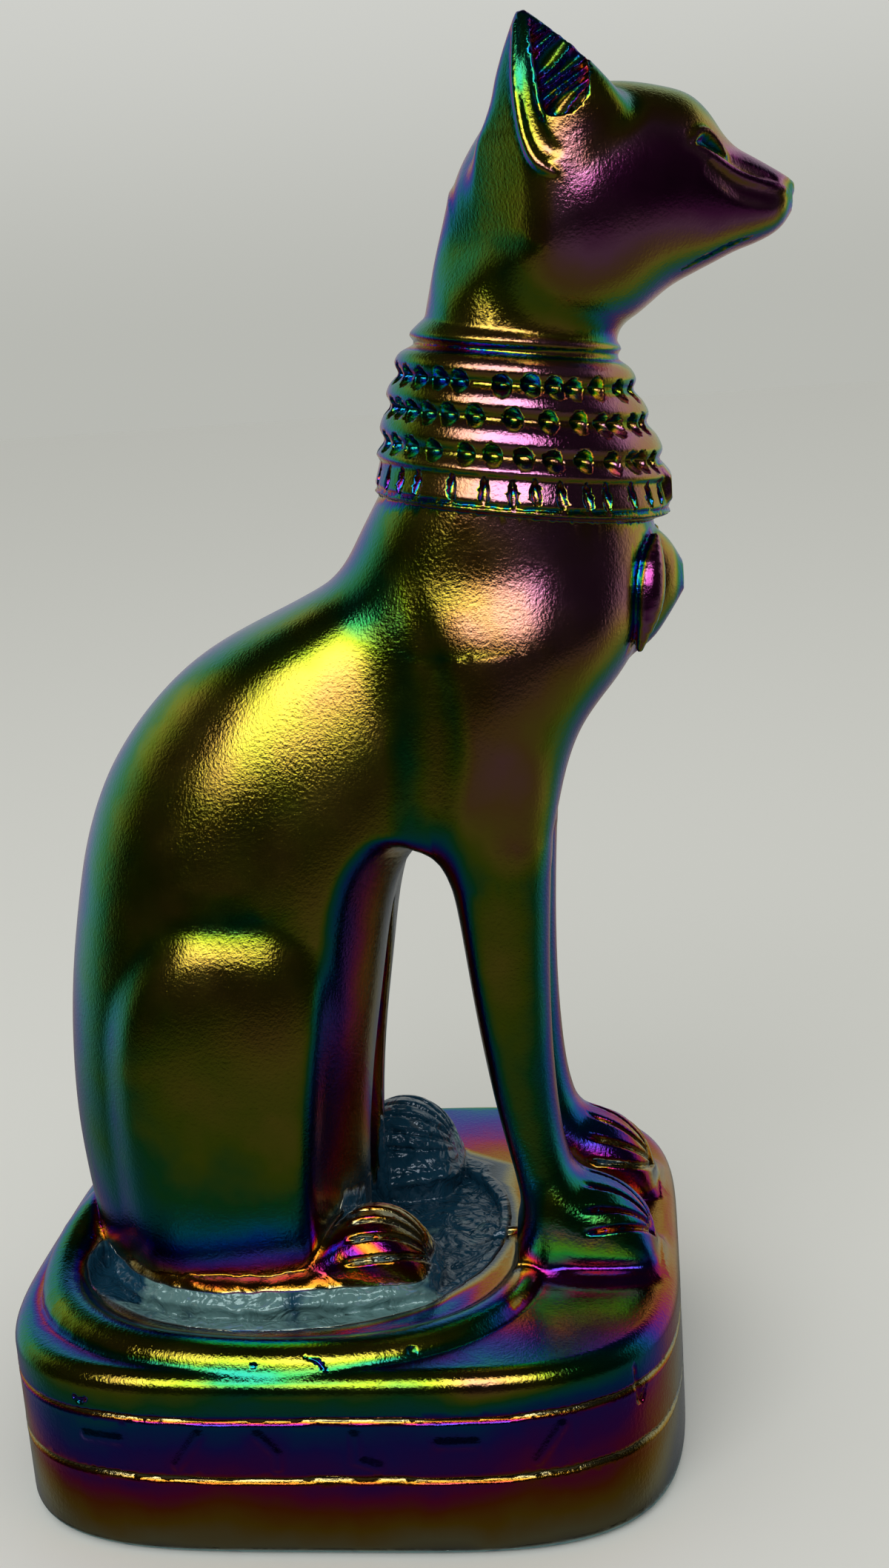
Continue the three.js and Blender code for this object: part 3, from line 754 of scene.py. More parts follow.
CHANNEL_ROWS = [
    (20.9, 8.7, 98.2, 0.4), (21.0, 9.6, 95.8, 0.8), (21.1, 10.2, 93.4, 1.0), (21.5, 10.7, 91.2, 1.1),
    (22.4, 10.9, 89.9, 1.0), (23.6, 10.9, 89.8, 0.5),
]
HOLLOW_OUTLINE = [
    (21.4, 100), (21.5, 98.0), (21.6, 96.3), (21.8, 94.8), (22.0, 93.2), (22.4, 92.3), (23.4, 92.1),
    (24.7, 92.6), (25.4, 93.5), (25.6, 94.8), (25.5, 96.6), (26.0, 99.0), (22.6, 101),
]
hollow_curve = smooth_outline(HOLLOW_OUTLINE, steps=3)
HOLLOW_PLACE = (22, 92)
HOLLOW_FLOOR = 8.7
HOLLOW_FALL = 0.36
HOLLOW_LEAN = 0.12
HAIR_SPACING = 1.0
HAIR_RISE = 0.5
HAIR_WAVE = 0.22
HAIR_SHARPNESS = 0.7
HAIR_SLANT = math.radians(39)


def ear_hollow(x, y, z):
    edge = outline_distance(x, z, hollow_curve)
    across_hair = (z * math.cos(HAIR_SLANT) - x * math.sin(HAIR_SLANT)) / HAIR_SPACING
    across_hair = across_hair + HAIR_WAVE * np.sin(0.9 * x + 2.1 * across_hair)
    hair = HAIR_RISE * (1 - np.abs(np.sin(math.pi * across_hair)) ** HAIR_SHARPNESS)
    along, up = x - HOLLOW_PLACE[0], z - HOLLOW_PLACE[1]
    floor_place = HOLLOW_FLOOR - up * HOLLOW_LEAN - along * HOLLOW_FALL + hair
    return soft_max(edge, floor_place - y, 0.2)


EAR_RIM_ROWS = [
    (20.4, 7.7, 98.8, 0.12), (20.2, 8.6, 96.6, 0.2), (20.2, 9.3, 94.4, 0.24), (20.3, 9.9, 92.4, 0.27),
    (20.6, 10.1, 90.9, 0.3), (21.1, 10.3, 89.6, 0.36), (21.9, 10.4, 88.7, 0.36),
    (22.8, 10.4, 88.2, 0.15),
]
INNER_RIM_ROWS = [
    (21.4, 8.1, 98.6, 0.1), (21.5, 8.9, 96.6, 0.15), (21.7, 9.4, 94.6, 0.18), (21.9, 9.9, 93.0, 0.2),
    (22.2, 10.1, 92.0, 0.12),
]
rim_route = settle(EAR_RIM_ROWS, -0.05)
cut_bar(settle(CHANNEL_ROWS, 0.72), 0.3)
cut(ear_hollow, (21, 5.5, 91), (27, 12, 101), 0.15, paired=True)
add_bar(rim_route, 0.3)
add_bar(INNER_RIM_ROWS, 0.15)

# The collar: three channels with a row of pits in each, then a row of slots over a cord, all cast
# in one with the neck. The pits are unevenly spaced, so their places around the neck are given one
# by one, in degrees from the breast.
COLLAR_ROWS = [
    (63.0, 6.9, 29.9, 10.9),
    (66.9, 7.2, 30.1, 10.6),
    (69.6, 7.8, 29.5, 10.0),
    (72.2, 8.5, 28.5, 9.4),
    (74.8, 9.4, 27.6, 8.8),
    (77.4, 10.6, 26.8, 8.2),
    (80.5, 12.0, 25.8, 7.6),
]
COLLAR_FALL = 0.135
COLLAR_MIDDLE = 18
COLLAR_FOOT = 63.5
COLLAR_HEAD = 80
COLLAR_PROFILE = [
    (63.5, -1.3), (63.95, -0.1), (64.25, 0.42), (64.55, 0.1), (64.8, 0.3), (65.6, 0.16), (66.4, 0.0),
    (66.75, 0.0), (67.05, 0.26), (67.4, 0.22), (68.28, -0.2), (68.95, 0.2), (69.3, 0.32),
    (70.2, 0.2), (71.07, -0.2), (71.7, 0.2), (72.05, 0.32), (72.8, 0.2), (73.6, -0.2), (74.2, 0.2),
    (74.6, 0.34), (75.3, 0.14), (76.0, -0.62), (76.3, -0.4), (76.7, 0.0), (77.5, -0.3),
    (78.4, -0.85), (80, -1.9),
]
PIT_ROWS = {
    73.6: (14, 28.5, 43.5, 55.5, 65, 76, 90, 111, 122, 135, 147, 160, 173),
    71.07: (16, 26, 37.5, 45, 56, 70, 85.5, 103, 116, 127, 138, 148, 157, 170),
    68.28: (19, 28, 34, 44.5, 57, 70, 82, 95, 107, 122.5, 135, 146.5, 158, 170),
    65.8: (19, 28, 38, 50, 58, 68.5, 78.5, 87.5, 99, 113, 129.5, 139.5, 150, 162, 174),
}
SLOT_HEIGHT = 65.8
PIT_HALF_WIDTH = 0.74
PIT_HALF_HEIGHT = 0.9
PIT_DEPTH = 0.72
PIT_ROUNDNESS = 0.55
PIT_SLIP = 0.05
PIT_LIFT = 0.1
SLOT_HALF_WIDTH = 0.36
SLOT_HALF_HEIGHT = 1.05
SLOT_DEPTH = 0.45
SLOT_TAPER = 0.45
SLOT_TAPER_LIMITS = (0.3, 1.4)
DENT_MARGIN = 0.3

collar_slices = stacked(COLLAR_ROWS, squareness=2.1, ease=0.8, open_ends=True)
swell_places, (swell_line,) = smooth_rows(COLLAR_PROFILE, 0.1)
unevenness = np.random.RandomState(7)
collar_dents = []
for height, degrees in PIT_ROWS.items():
    places = np.radians(degrees)
    slips = unevenness.uniform(-PIT_SLIP, PIT_SLIP, len(places))
    lifts = unevenness.uniform(-PIT_LIFT, PIT_LIFT, 2 * len(places))
    collar_dents.append((height, np.concatenate([-places, places + slips]), lifts))


def collar(x, y, z):
    level = z + (x - COLLAR_MIDDLE) * COLLAR_FALL
    side = collar_slices(level, x, y) - np.interp(level, swell_places, swell_line)
    angle = np.arctan2(y, x - COLLAR_MIDDLE)
    radius = np.hypot(y, x - COLLAR_MIDDLE)
    for height, places, lifts in collar_dents:
        slot = height == SLOT_HEIGHT
        half_width = SLOT_HALF_WIDTH if slot else PIT_HALF_WIDTH
        half_height = SLOT_HALF_HEIGHT if slot else PIT_HALF_HEIGHT
        depth = SLOT_DEPTH if slot else PIT_DEPTH
        near = np.flatnonzero(np.abs(level - height) < half_height + DENT_MARGIN)
        away = angle[near, None] - places[None, :]
        away = (away + math.pi) % (2 * math.pi) - math.pi
        nearest = np.argmin(np.abs(away), axis=1)
        across = away[np.arange(len(near)), nearest] * radius[near]
        up = level[near] - height - lifts[nearest]
        if slot:
            across = across / np.clip(1 - SLOT_TAPER * up / half_height, *SLOT_TAPER_LIMITS)
        off = (across / half_width) ** 2 + (up / half_height) ** 2
        side[near] += depth * np.maximum(1 - off, 0) ** PIT_ROUNDNESS
    return np.maximum(side, np.maximum(COLLAR_FOOT - level, level - COLLAR_HEAD))


add(collar, (6, -12, 60), (32, 12, 82), 0.15)

# A winged beetle hangs under a stepped plaque at the front of the collar.
PLAQUE_ROWS = [(26, 62.4, 66.6, 3.2), (29.6, 62.9, 66.6, 3.2), (30.5, 63.6, 65.6, 2.9)]
BEETLE_ROWS = [
    (26, 50.5, 62.5, 4.4), (28.6, 52.4, 61.6, 3.8), (30.2, 54.6, 60.2, 2.7), (31.2, 56.2, 58.4, 1),
]
WING_ROWS = [
    (29.0, 3.4, 60.8, 0.4), (28.6, 5.2, 58.8, 1.1), (28.2, 5.8, 55.8, 1.2), (27.4, 5.4, 52.4, 0.3),
]
plaque_slices = stacked(PLAQUE_ROWS, squareness=5, ease=0.15)
beetle_slices = stacked(BEETLE_ROWS, squareness=2.2, ease=0.3)
add(lambda x, y, z: plaque_slices(x, z, y), (26, -4, 62), (31, 4, 67), 0.25)
add(lambda x, y, z: beetle_slices(x, z, y), (26, -5, 50), (31.4, 5, 63), 0.3)
add_bar(WING_ROWS, 0.3)

# Shallow strokes in the band between the two grooves stand where the signs were.
SIGN_STROKES = [
    [(-1, 0.4), (1, 0.4)],
    [(-0.7, -1), (0.7, 1)],
    [(-1, 1), (0, -0.2), (0, -1)],
    [(-0.6, 1), (-0.6, -0.6), (0.6, -1)],
]
SIGN_COUNT = 6
SIGN_HALF_HEIGHT = 1.8 * MM
SIGN_HALF_WIDTH = 0.42 * MM
SIGN_SUNK = 0.26 * MM
sign_middle = sum(GROOVE_HEIGHTS) / 2
for i in range(SIGN_COUNT):
    place = (i - (SIGN_COUNT - 1) / 2) * 2 * PLINTH_HALF_LENGTH / (SIGN_COUNT + 2)
    stroke = []
    for across, up in SIGN_STROKES[i % len(SIGN_STROKES)]:
        x = place + across * SIGN_HALF_HEIGHT
        reach = (1 - abs(x / PLINTH_HALF_LENGTH) ** PLINTH_SQUARENESS) ** (1 / PLINTH_SQUARENESS)
        y = reach * PLINTH_HALF_DEPTH - SIGN_SUNK
        z = sign_middle + up * SIGN_HALF_HEIGHT
        stroke.append((x, y, z, SIGN_HALF_WIDTH))
    add(bar(stroke, steps=1), *bar_box(stroke), 0.5, paired=True)


# The skin of the casting: a fine net is laid where the distance changes sign, its knots are drawn
# on to the surface, and flat stretches are thinned to keep the mesh light. The net is closer at the
# head, collar and feet than along the back.
CELL = 0.34 * MM
CELL_BANDS = [
    (-16.5, 0.40), (-3, 0.34), (9, 0.34), (13, 0.62), (60, 0.62), (63, 0.28), (77, 0.28),
    (79, 0.34), (101, 0.32),
]
COARSE = 4
MOST_TRIANGLES = 190000
NEAR_CELLS = 1.3
LEAST_STEEP = 0.25
MOST_STEP = 0.5


def net_axis(low, high, cell):
    places = [low]
    while places[-1] < high or (len(places) - 1) % COARSE:
        places.append(places[-1] + cell(places[-1]))
    return np.array(places)


def lay_net():
    margin = 3 * CELL
    low = np.array([low_corner.x, low_corner.y, low_corner.z - PLINTH_TOP]) / UNIT - margin
    high = np.array([high_corner.x, high_corner.y, high_corner.z - PLINTH_TOP]) / UNIT + margin
    heights, cells = np.array(CELL_BANDS).T
    axes = [net_axis(low[k], high[k], lambda place: CELL) for k in (0, 1)]
    axes.append(net_axis(low[2], high[2], lambda place: np.interp(place, heights, cells) * MM))
    rough_axes = [axis[::COARSE] for axis in axes]
    grid = np.meshgrid(*rough_axes, indexing="ij")
    rough = distance(*(g.ravel() for g in grid)).reshape([len(axis) for axis in rough_axes])
    solid = rough < 0
    tall = np.diff(rough_axes[2], append=rough_axes[2][-1] + CELL * COARSE)
    near = np.abs(rough) < NEAR_CELLS * np.maximum(CELL * COARSE, tall)
    for axis in range(3):
        change = np.diff(solid, axis=axis)
        first = [slice(None)] * 3
        second = [slice(None)] * 3
        first[axis], second[axis] = slice(0, -1), slice(1, None)
        near[tuple(first)] |= change
        near[tuple(second)] |= change
    blocks = np.array(rough.shape) - 1
    block_near = np.zeros(blocks, bool)
    for i in (0, 1):
        for j in (0, 1):
            for k in (0, 1):
                block_near |= near[i:blocks[0] + i, j:blocks[1] + j, k:blocks[2] + k]
    size = blocks * COARSE + 1
    wanted = np.zeros(size, bool)
    spread = block_near.repeat(COARSE, 0).repeat(COARSE, 1).repeat(COARSE, 2)
    for i in (0, 1):
        for j in (0, 1):
            for k in (0, 1):
                wanted[i:size[0] - 1 + i, j:size[1] - 1 + j, k:size[2] - 1 + k] |= spread
    spots = np.nonzero(wanted)
    values = np.full(size, np.nan, np.float32)
    values[spots] = distance(*(axes[k][spots[k]] for k in range(3)))
    return values, axes, solid


def draw_skin(values, axes):
    size = np.array(values.shape)
    inside = values < 0
    known = np.isfinite(values)
    strides = np.array([size[1] * size[2], size[2], 1])
    cells, corners, quads = [], [], []
    for axis in range(3):
        first = [slice(None)] * 3
        second = [slice(None)] * 3
        first[axis], second[axis] = slice(0, -1), slice(1, None)
        first, second = tuple(first), tuple(second)
        crossing = (inside[first] != inside[second]) & known[first] & known[second]
        at = np.array(np.nonzero(crossing)).T
        here = values[first][crossing].astype(float)
        there = values[second][crossing].astype(float)
        point = at.astype(float)
        point[:, axis] += here / (here - there)
        base = at @ strides
        one, two = [strides[k] for k in range(3) if k != axis]
        around = [base - a * one - b * two for a, b in ((0, 0), (1, 0), (1, 1), (0, 1))]
        for cell in around:
            cells.append(cell)
            corners.append(point)
        quad = np.array(around).T
        flip = here > 0
        if axis == 1:
            flip = ~flip
        quad[flip] = quad[flip][:, ::-1]
        quads.append(quad)
    cells, corners, quads = np.concatenate(cells), np.concatenate(corners), np.concatenate(quads)
    used, spot = np.unique(cells, return_inverse=True)
    count = np.bincount(spot)
    knots = []
    for k in range(3):
        middle = np.bincount(spot, corners[:, k]) / count
        knots.append(np.interp(middle, np.arange(size[k]), axes[k]))
    return np.array(knots).T, np.searchsorted(used, quads)


def slope(points):
    sides = []
    for k in range(3):
        ahead, behind = points.copy(), points.copy()
        ahead[:, k] += NUDGE
        behind[:, k] -= NUDGE
        sides.append((distance(*ahead.T) - distance(*behind.T)) / (2 * NUDGE))
    return np.array(sides).T


values, axes, solid = lay_net()
knots, quads = draw_skin(values, axes)
steep = slope(knots)
steepness = np.maximum((steep ** 2).sum(1, keepdims=True), LEAST_STEEP)
step = distance(*knots.T)[:, None] * steep / steepness
knots -= np.clip(step, -CELL * MOST_STEP, CELL * MOST_STEP)

mesh = bpy.data.meshes.new("bastet_figure")
mesh.vertices.add(len(knots))
mesh.loops.add(quads.size)
mesh.polygons.add(len(quads))
in_metres = knots * UNIT + np.array([0, 0, PLINTH_TOP])
mesh.vertices.foreach_set("co", in_metres.ravel())
mesh.loops.foreach_set("vertex_index", quads.ravel().astype(np.int32))
mesh.polygons.foreach_set("loop_start", np.arange(0, quads.size, 4, dtype=np.int32))
mesh.update(calc_edges=True)
figure = bpy.data.objects.new("bastet_figure", mesh)
bpy.context.scene.collection.objects.link(figure)
thin = figure.modifiers.new("thin", "DECIMATE")
thin.ratio = min(MOST_TRIANGLES / (2 * len(quads)), 1)
bpy.context.view_layer.update()
thinned = figure.evaluated_get(bpy.context.evaluated_depsgraph_get())
light_mesh = bpy.data.meshes.new_from_object(thinned)
figure.modifiers.clear()
figure.data = light_mesh
points = np.empty(len(light_mesh.vertices) * 3)
light_mesh.vertices.foreach_get("co", points)
points = (points.reshape(-1, 3) - np.array([0, 0, PLINTH_TOP])) / UNIT
outward = slope(points)
outward /= np.linalg.norm(outward, axis=1, keepdims=True)
light_mesh.polygons.foreach_set("use_smooth", np.ones(len(light_mesh.polygons), bool))
light_mesh.normals_split_custom_set_from_vertices(outward.tolist())

# The lustre is a film of metal oxide, laid on the hot casting as a vapour. Here the vapour is taken
# to come mostly from both sides and from above. Where the skin is sheltered the film is thinner,
# and in the basin there is none, so that the bare glass shows.
NEAR_REACHES = (0.5, 1.0)
FAR_REACHES = (1.8, 2.8, 4, 6, 9, 13, 18, 25)
WAY_COUNT = 64
FROM_ABOVE = 0.5
FROM_ELSEWHERE = 0.06
rough_axes = [axis[::COARSE] for axis in axes]


def vapour_reach(points, outward):
    near = np.ones(len(points))
    for reach in NEAR_REACHES:
        near *= np.clip(distance(*(points + outward * reach).T) / reach, 0, 1)
    turns = math.pi * (3 - math.sqrt(5)) * np.arange(WAY_COUNT)
    heights = 1 - (2 * np.arange(WAY_COUNT) + 1) / WAY_COUNT
    rings = np.sqrt(1 - heights ** 2)
    total, free = np.zeros(len(points)), np.zeros(len(points))
    for x, y, z in zip(rings * np.cos(turns), rings * np.sin(turns), heights):
        strength = y * y + FROM_ABOVE * max(z, 0) + FROM_ELSEWHERE
        share = strength * np.maximum(outward @ np.array((x, y, z)), 0)
        blocked = np.zeros(len(points), bool)
        for reach in FAR_REACHES:
            spot = points + np.array((x, y, z)) * reach
            index = tuple(np.rint(np.interp(spot[:, k], axis, np.arange(len(axis)))).astype(int)
                          for k, axis in enumerate(rough_axes))
            blocked |= solid[index] | (spot[:, 2] < -PLINTH_DEEP)
        total += share
        free += share * ~blocked
    return near, free / total, total / WAY_COUNT


near_open, far_open, strength = vapour_reach(points, outward)

# The film's thickness where nothing shelters it, at some places along and up the cat's side. Each
# was set by comparing the colour there with the one measured in the photograph.
LUSTRE_PLACES = [
    (-12, 20, 5.35), (-14, 40, 5.45), (0, 40, 5.6), (4, 54, 5.75), (-6, 48, 5.65), (10, 52, 5.6),
    (16, 62, 6.3), (25, 58, 6.9), (20, 60, 6.2), (17, 55, 6.0), (17, 50, 6.1), (20, 44, 6.4),
    (14, 56, 5.8), (11, 64, 5.4), (7, 60, 5.2), (16.5, 73, 6.6), (16, 67, 6.6), (20, 70, 6.6),
    (25, 70, 6.8), (12, 68, 5.2), (10, 72, 5.4), (14, 82, 5.2), (12, 78, 5.2), (18, 84, 5.1),
    (19, 78, 5.7), (23, 84, 7.1), (24, 88, 7.2), (25, 91, 7.0), (32, 86, 7.3), (38, 86, 7.4),
    (17, 88, 5.2), (25, 97, 4.9), (29, 97, 4.9), (33, 96, 5.1), (21, 98, 5.0), (19, 93, 5.2),
    (16, 30, 5.5), (18, 12, 5.2), (-4, 26, 5.75), (24, 4, 5.0), (0, 0, 5.6), (-20, 0, 5.6),
    (28, -4, 5.2), (0, -3, 5.4), (22, 80, 6.5), (28, 80, 7.0),
]
PLACE_REACH = 4.0
LEAST_WEIGHT = 1e-6
OPEN_SHARES = [
    (0, 0), (0.1, 0.2), (0.2, 0.42), (0.3, 0.62), (0.45, 0.86), (0.6, 0.96), (0.75, 1.0), (1, 1.0),
]
# How much of the film is missing at the bottom of a dent.
PLINTH_DENTS = 0.12
COLLAR_DENTS = 0.6
OTHER_DENTS = 0.4
PLINTH_SIDE_TOP = -2.8
COLLAR_LEVEL = 70
COLLAR_HALF_LEVEL = 7
FULL_PERCENTILE = 90
TURNED_POWER = 0.35

weights = []
for x, z, _ in LUSTRE_PLACES:
    away = (points[:, 0] - x) ** 2 + (points[:, 2] - z) ** 2
    weights.append(np.exp(-away / (2 * PLACE_REACH ** 2)) + LEAST_WEIGHT)
weights = np.array(weights)
full = (weights * np.array([t for _, _, t in LUSTRE_PLACES])[:, None]).sum(0) / weights.sum(0)
by_collar = np.abs(points[:, 2] - COLLAR_LEVEL) < COLLAR_HALF_LEVEL
in_dents = np.where(by_collar, COLLAR_DENTS, OTHER_DENTS)
in_dents = np.where(points[:, 2] < PLINTH_SIDE_TOP, PLINTH_DENTS, in_dents)
share = np.interp(far_open, *np.array(OPEN_SHARES).T) * (1 - in_dents * (1 - near_open))
share *= np.clip(strength / np.percentile(strength, FULL_PERCENTILE), 0, 1) ** TURNED_POWER

# The photograph shows it thinner towards the foot of the plinth and of the hind legs, inside the
# arch and around the forepaws. The basin and the far hind foot are bare. Along the grooves' edges
# the film is set thin so that they show as pale lines: a painted highlight.
PLINTH_FILM = [
    (-16.5, 0.32), (-15, 0.40), (-13, 0.48), (-11, 0.59), (-9, 0.66), (-7, 0.70), (-5, 0.76),
    (-3.7, 0.84), (-2.5, 0.90), (-1, 0.97), (0, 1),
]
LEG_FILM = [(0.5, 0.40), (2.2, 0.47), (3.4, 0.62), (5, 0.75), (8, 0.86), (12, 0.96), (16, 1)]
HIND_FOOT_REACH = 0.9
HIND_FOOT_FROM = 0.4
TOE_FILM = {"near": 0.58, "far": 0.2}
TOE_PATCHES = 0.09
TOES_FROM = 0.5
TOES_TOP = 7.9
FOREPAW_FILM = {"near": 1.0, "far": 0.72}
FOREPAW_CORNER = (18.5, 12, 0.8)
FOREPAW_FADE = 4.5
TOP_FILM = [(-1, 3.5), (1, 3.7), (6, 3.9), (9, 4.6), (12, 5.2), (15, 6.0)]
ARCH_REAR_FILM = [(4, 0.6), (8, 0.68), (11, 0.82), (14, 0.95), (16, 1)]
ARCH_FRONT_FILM = [(3, 0.58), (8, 0.62), (11, 0.70)]
ARCH_EDGES = (0.7, 1.1)  # how far the arch's own film reaches, at the rear and in front
ARCH_FILM_HALF_WIDTH = 16
ARCH_FILM_FROM = 0.5
FLAT_TOP_FROM = 9
FLAT_TOP_FADE = 3
FLAT_TOP_HIGH = 1.1
FLAT_TOP_HIGH_FADE = 0.4
FLAT_TOP_LOW = -2.4
FLAT_TOP_LOW_FADE = 1.2
FLAT_TOP_DENTS = 0.08
# Painted highlight: along each groove's edge the film is set thin, so that the edge shows as a pale
# line.
GROOVE_GLINT_FILM = 2.05
GROOVE_GLINT_WIDTH = 0.26
BARE_OVAL = (-5.6, -0.5, 19.6, 19.2)
BARE_FILM = [(-1.6, 0.1), (-0.5, 0.4), (0.6, 1)]
BARE_TOP = 1.95
BARE_FADE = 0.4


def by_table(value, table):
    return np.interp(value, *np.array(table).T)


x, across, z = points[:, 0], np.abs(points[:, 1]), points[:, 2]
far_side = points[:, 1] > 0
share *= by_table(z, PLINTH_FILM)
hind = outline_distance(x, across, sole_curve) < HIND_FOOT_REACH
leg = by_table(z, LEG_FILM)
toes = np.where(far_side, TOE_FILM["far"], TOE_FILM["near"])
toes = toes + TOE_PATCHES * np.sin(1.7 * x + 2.3 * z)
leg = np.where((x > TOES_FROM) & (z < TOES_TOP), np.minimum(leg, toes), leg)
share = np.where(hind & (z > HIND_FOOT_FROM), share * leg, share)
forepaw = np.where(far_side, FOREPAW_FILM["far"], FOREPAW_FILM["near"])
forepaw = forepaw + (1 - forepaw) * np.clip((z - FOREPAW_FADE) / FOREPAW_FADE, 0, 1)
from_x, half_width, from_z = FOREPAW_CORNER
by_forepaw = (x > from_x) & (across < half_width) & (z > from_z)
share = np.where(by_forepaw, share * forepaw, share)
flat_top = np.clip((x - FLAT_TOP_FROM) / FLAT_TOP_FADE, 0, 1)
flat_top = flat_top * np.clip((FLAT_TOP_HIGH - z) / FLAT_TOP_HIGH_FADE, 0, 1)
flat_top = flat_top * np.clip((z - FLAT_TOP_LOW) / FLAT_TOP_LOW_FADE, 0, 1) * ~hind
top_share = by_table(outline_distance(x, across, plate_curve), TOP_FILM) / full
share += flat_top * (top_share * (1 - FLAT_TOP_DENTS + FLAT_TOP_DENTS * near_open) - share)
# Painted highlight: a pale line of thin film along the edges of each groove.
for height in GROOVE_HEIGHTS:
    groove_glint = np.exp(-((z - height) / GROOVE_GLINT_WIDTH) ** 2)
    share += groove_glint * (GROOVE_GLINT_FILM / full - share)
at_rear = x < ARCH_MIDDLE
on_arch = np.exp(-(arch(x, points[:, 1], z) / np.where(at_rear, *ARCH_EDGES)) ** 2)
on_arch = on_arch * (across < ARCH_FILM_HALF_WIDTH) * (z > ARCH_FILM_FROM)
inner = np.where(at_rear, by_table(across, ARCH_REAR_FILM), by_table(across, ARCH_FRONT_FILM))
share *= 1 - on_arch * (1 - inner)
bare_x, bare_y, bare_half_length, bare_half_depth = BARE_OVAL
bare_place = rounded_oval(x - bare_x, points[:, 1] - bare_y, bare_half_length, bare_half_depth,
                          BASIN_SQUARENESS)
bare_share = by_table(bare_place, BARE_FILM)
share *= bare_share + (1 - bare_share) * np.clip((z - BARE_TOP) / BARE_FADE, 0, 1)
film = light_mesh.attributes.new("film", "FLOAT", "POINT")
film.data.foreach_set("value", full * share)

# The lustre is satin, with fine scratches, and the bare glass is glossy and wrinkled. The colours
# run from the thinnest film to the thickest, as bright light shows them.
LUSTRE_COLOURS = [
    (0.0, 70, 78, 84), (1.4, 120, 130, 138), (2.1, 190, 180, 130), (2.6, 190, 145, 45),
    (3.0, 185, 90, 35), (3.3, 190, 45, 105), (3.6, 125, 45, 160), (3.95, 75, 65, 185),
    (4.3, 35, 105, 185), (4.65, 30, 150, 150), (5.0, 60, 155, 80), (5.3, 150, 175, 45),
    (5.6, 205, 185, 70), (5.9, 205, 155, 85), (6.15, 212, 148, 130), (6.4, 222, 142, 185),
    (6.75, 172, 78, 150), (7.1, 95, 38, 95), (7.6, 50, 32, 70),
]
FILM_SPAN = 8.0
# Real film changes its colour with the angle of view. Here the angle is counted from one fixed
# direction on either side, which is the one that the photograph was taken from.
SHIFT_FROM = (0.11, 0.96, 0.24)
SHIFT_POWER = 3.0
EDGE_DROP = 2.6
BARE_FROM = 2.0
BARE_BELOW = 1.3
GLASS_DARK = (0.010, 0.062, 0.115, 1)
GLASS_PALE = (0.15, 0.29, 0.29, 1)
PALE_FADE = (0.45, 0.62)
OUTER_FADE = (-0.0155, -0.0190)
OUTER_SHARE = 0.16
SATIN_DEEP = 0.000042
SCRATCH_DEEP = 0.000014
SCRATCH_LONG = 4
SCRATCH_TURN = (0.1, 0.25, 0)
WRINKLE_DEEP = 0.0009
LUSTRE_IOR = 1.8
BARE_METAL = 0.2
PATCH_FADE = (0.35, 0.7)
PATCH_ROUGHNESS = (-0.03, 0.05)
FOOT_ROUGHNESS = 0.13
BODY_ROUGHNESS = 0.15
FOOT_HEIGHT = 0.012
BARE_SMOOTHER = -0.06


def seen_colour(red, green, blue):
    return tuple((value / 255) ** 2.2 for value in (red, green, blue)) + (1,)


lustre = bpy.data.materials.new("rainbow_lustre")
lustre.use_nodes = True
tree = lustre.node_tree
skin = tree.nodes["Principled BSDF"]
place = node(tree, "ShaderNodeTexCoord").outputs["Object"]


def grain(size_mm, detail=2.0, roughness=0.5, distortion=0.0, long=None):
    made = node(tree, "ShaderNodeTexNoise")
    for name, value in (("Scale", 1000 / size_mm), ("Detail", detail), ("Roughness", roughness),
                        ("Distortion", distortion)):
        made.inputs[name].default_value = value
    spot = place
    if long:
        stretch = node(tree, "ShaderNodeMapping")
        stretch.inputs["Rotation"].default_value = SCRATCH_TURN
        stretch.inputs["Scale"].default_value = (1, 1, 1 / long)
        tree.links.new(place, stretch.inputs["Vector"])
        spot = stretch.outputs["Vector"]
    tree.links.new(spot, made.inputs["Vector"])
    return made.outputs["Fac"]


def bump(height, strength, deep, normal=None):
    made = node(tree, "ShaderNodeBump")
    made.inputs["Strength"].default_value = strength
    made.inputs["Distance"].default_value = deep
    tree.links.new(height, made.inputs["Height"])
    if normal:
        tree.links.new(normal, made.inputs["Normal"])
    return made.outputs["Normal"]


coat = node(tree, "ShaderNodeAttribute", attribute_name="film").outputs["Fac"]
bare = soft_step(tree, coat, BARE_FROM, BARE_BELOW)
where = node(tree, "ShaderNodeSeparateXYZ")
tree.links.new(place, where.inputs[0])
satin = bump(grain(0.36, 3, 0.62), 1.0, SATIN_DEEP)
satin = bump(grain(0.22, 1, 0.5, long=SCRATCH_LONG), 1.0, SCRATCH_DEEP, satin)
crinkle = sum_node(tree, "MULTIPLY", grain(2.8, 2, 0.5, 1.2), bare)
satin = bump(crinkle, 1.0, WRINKLE_DEEP, satin)
tree.links.new(satin, skin.inputs["Normal"])

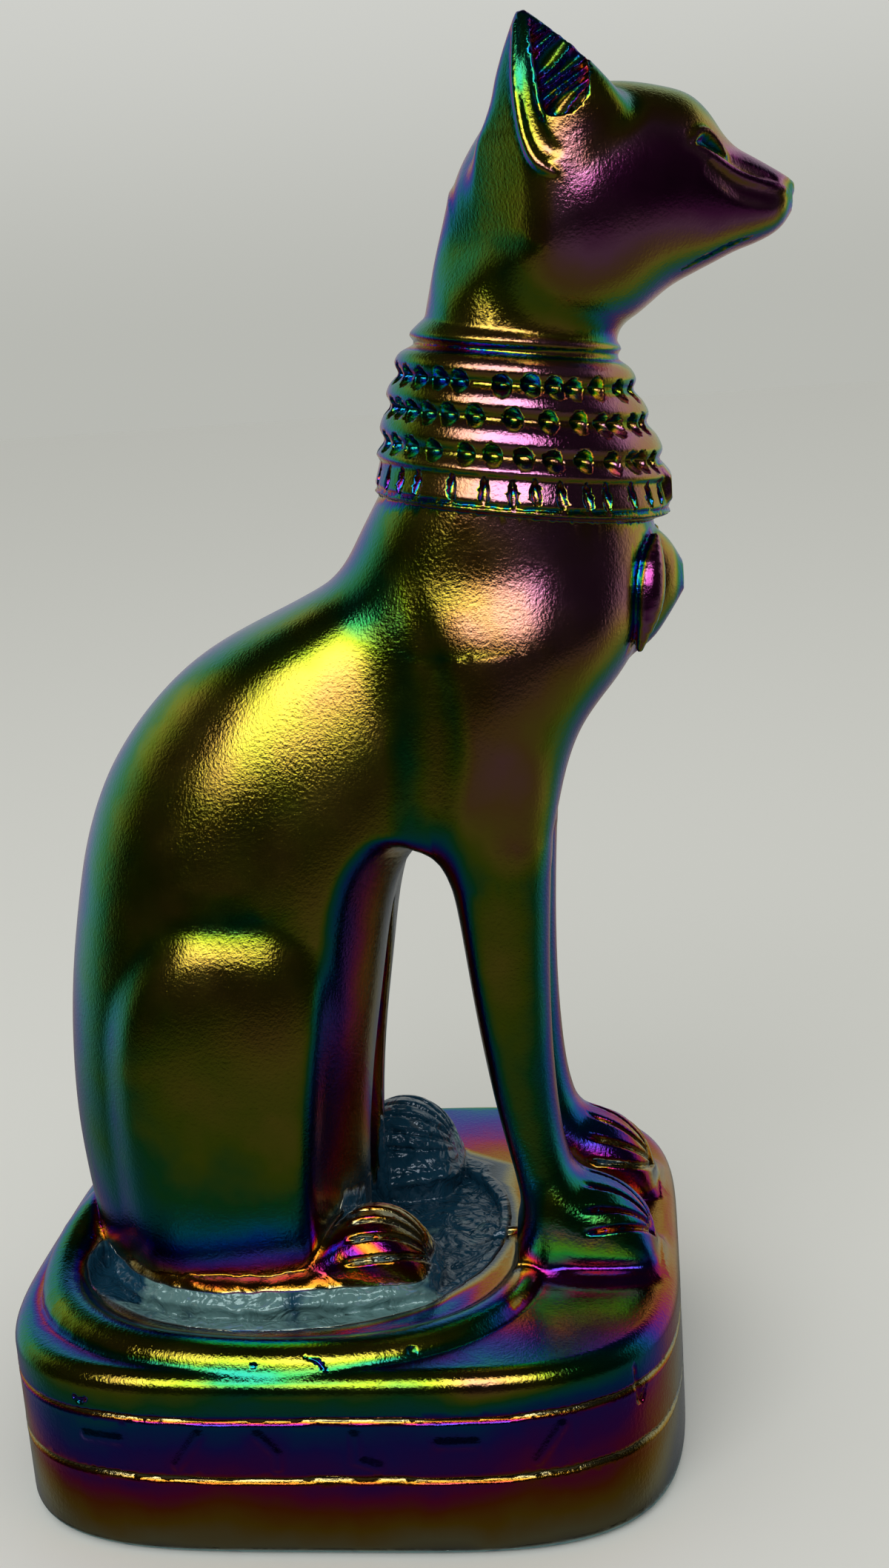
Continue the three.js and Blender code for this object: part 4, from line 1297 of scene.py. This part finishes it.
lean = node(tree, "ShaderNodeSeparateXYZ")
tree.links.new(satin, lean.inputs[0])
facing = sum_node(tree, "MULTIPLY", sum_node(tree, "ABSOLUTE", lean.outputs["Y"]), SHIFT_FROM[1])
facing = sum_node(tree, "MULTIPLY_ADD", lean.outputs["X"], SHIFT_FROM[0], facing)
facing = sum_node(tree, "MULTIPLY_ADD", lean.outputs["Z"], SHIFT_FROM[2], facing)
turned_away = sum_node(tree, "SUBTRACT", 1.0, facing, clamp=True)
edge = sum_node(tree, "POWER", turned_away, SHIFT_POWER)
cloud = sum_node(tree, "MULTIPLY_ADD", sum_node(tree, "SUBTRACT", grain(9, 3, 0.5), 0.5), 1.0, coat)
order = sum_node(tree, "MULTIPLY_ADD", edge, -EDGE_DROP, cloud)
colours = node(tree, "ShaderNodeValToRGB")
tree.links.new(sum_node(tree, "DIVIDE", order, FILM_SPAN, clamp=True), colours.inputs["Fac"])
stops = colours.color_ramp.elements
while len(stops) < len(LUSTRE_COLOURS):
    stops.new(0.5)
for stop, (thickness, *rgb) in zip(stops, LUSTRE_COLOURS):
    stop.position = thickness / FILM_SPAN
    stop.color = seen_colour(*rgb)
outer = soft_step(tree, where.outputs["Y"], *OUTER_FADE, -OUTER_SHARE, OUTER_SHARE)
paleness = soft_step(tree, sum_node(tree, "ADD", grain(7, 4, 0.55, 0.8), outer), *PALE_FADE)
glass = colour_mix(tree, paleness, GLASS_DARK, GLASS_PALE)
tree.links.new(colour_mix(tree, bare, colours.outputs["Color"], glass), skin.inputs["Base Color"])
tree.links.new(soft_step(tree, bare, 0.0, 1.0, 1.0, BARE_METAL), skin.inputs["Metallic"])
skin.inputs["IOR"].default_value = LUSTRE_IOR
patchy = soft_step(tree, grain(11, 3, 0.55), *PATCH_FADE, *PATCH_ROUGHNESS)
roughness = soft_step(tree, where.outputs["Z"], PLINTH_TOP, PLINTH_TOP + FOOT_HEIGHT,
                      FOOT_ROUGHNESS, BODY_ROUGHNESS)
roughness = sum_node(tree, "ADD", roughness, patchy)
roughness = sum_node(tree, "MULTIPLY_ADD", bare, BARE_SMOOTHER, roughness)
tree.links.new(roughness, skin.inputs["Roughness"])
light_mesh.materials.append(lustre)
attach(figure, "root")
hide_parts("bastet_cat")
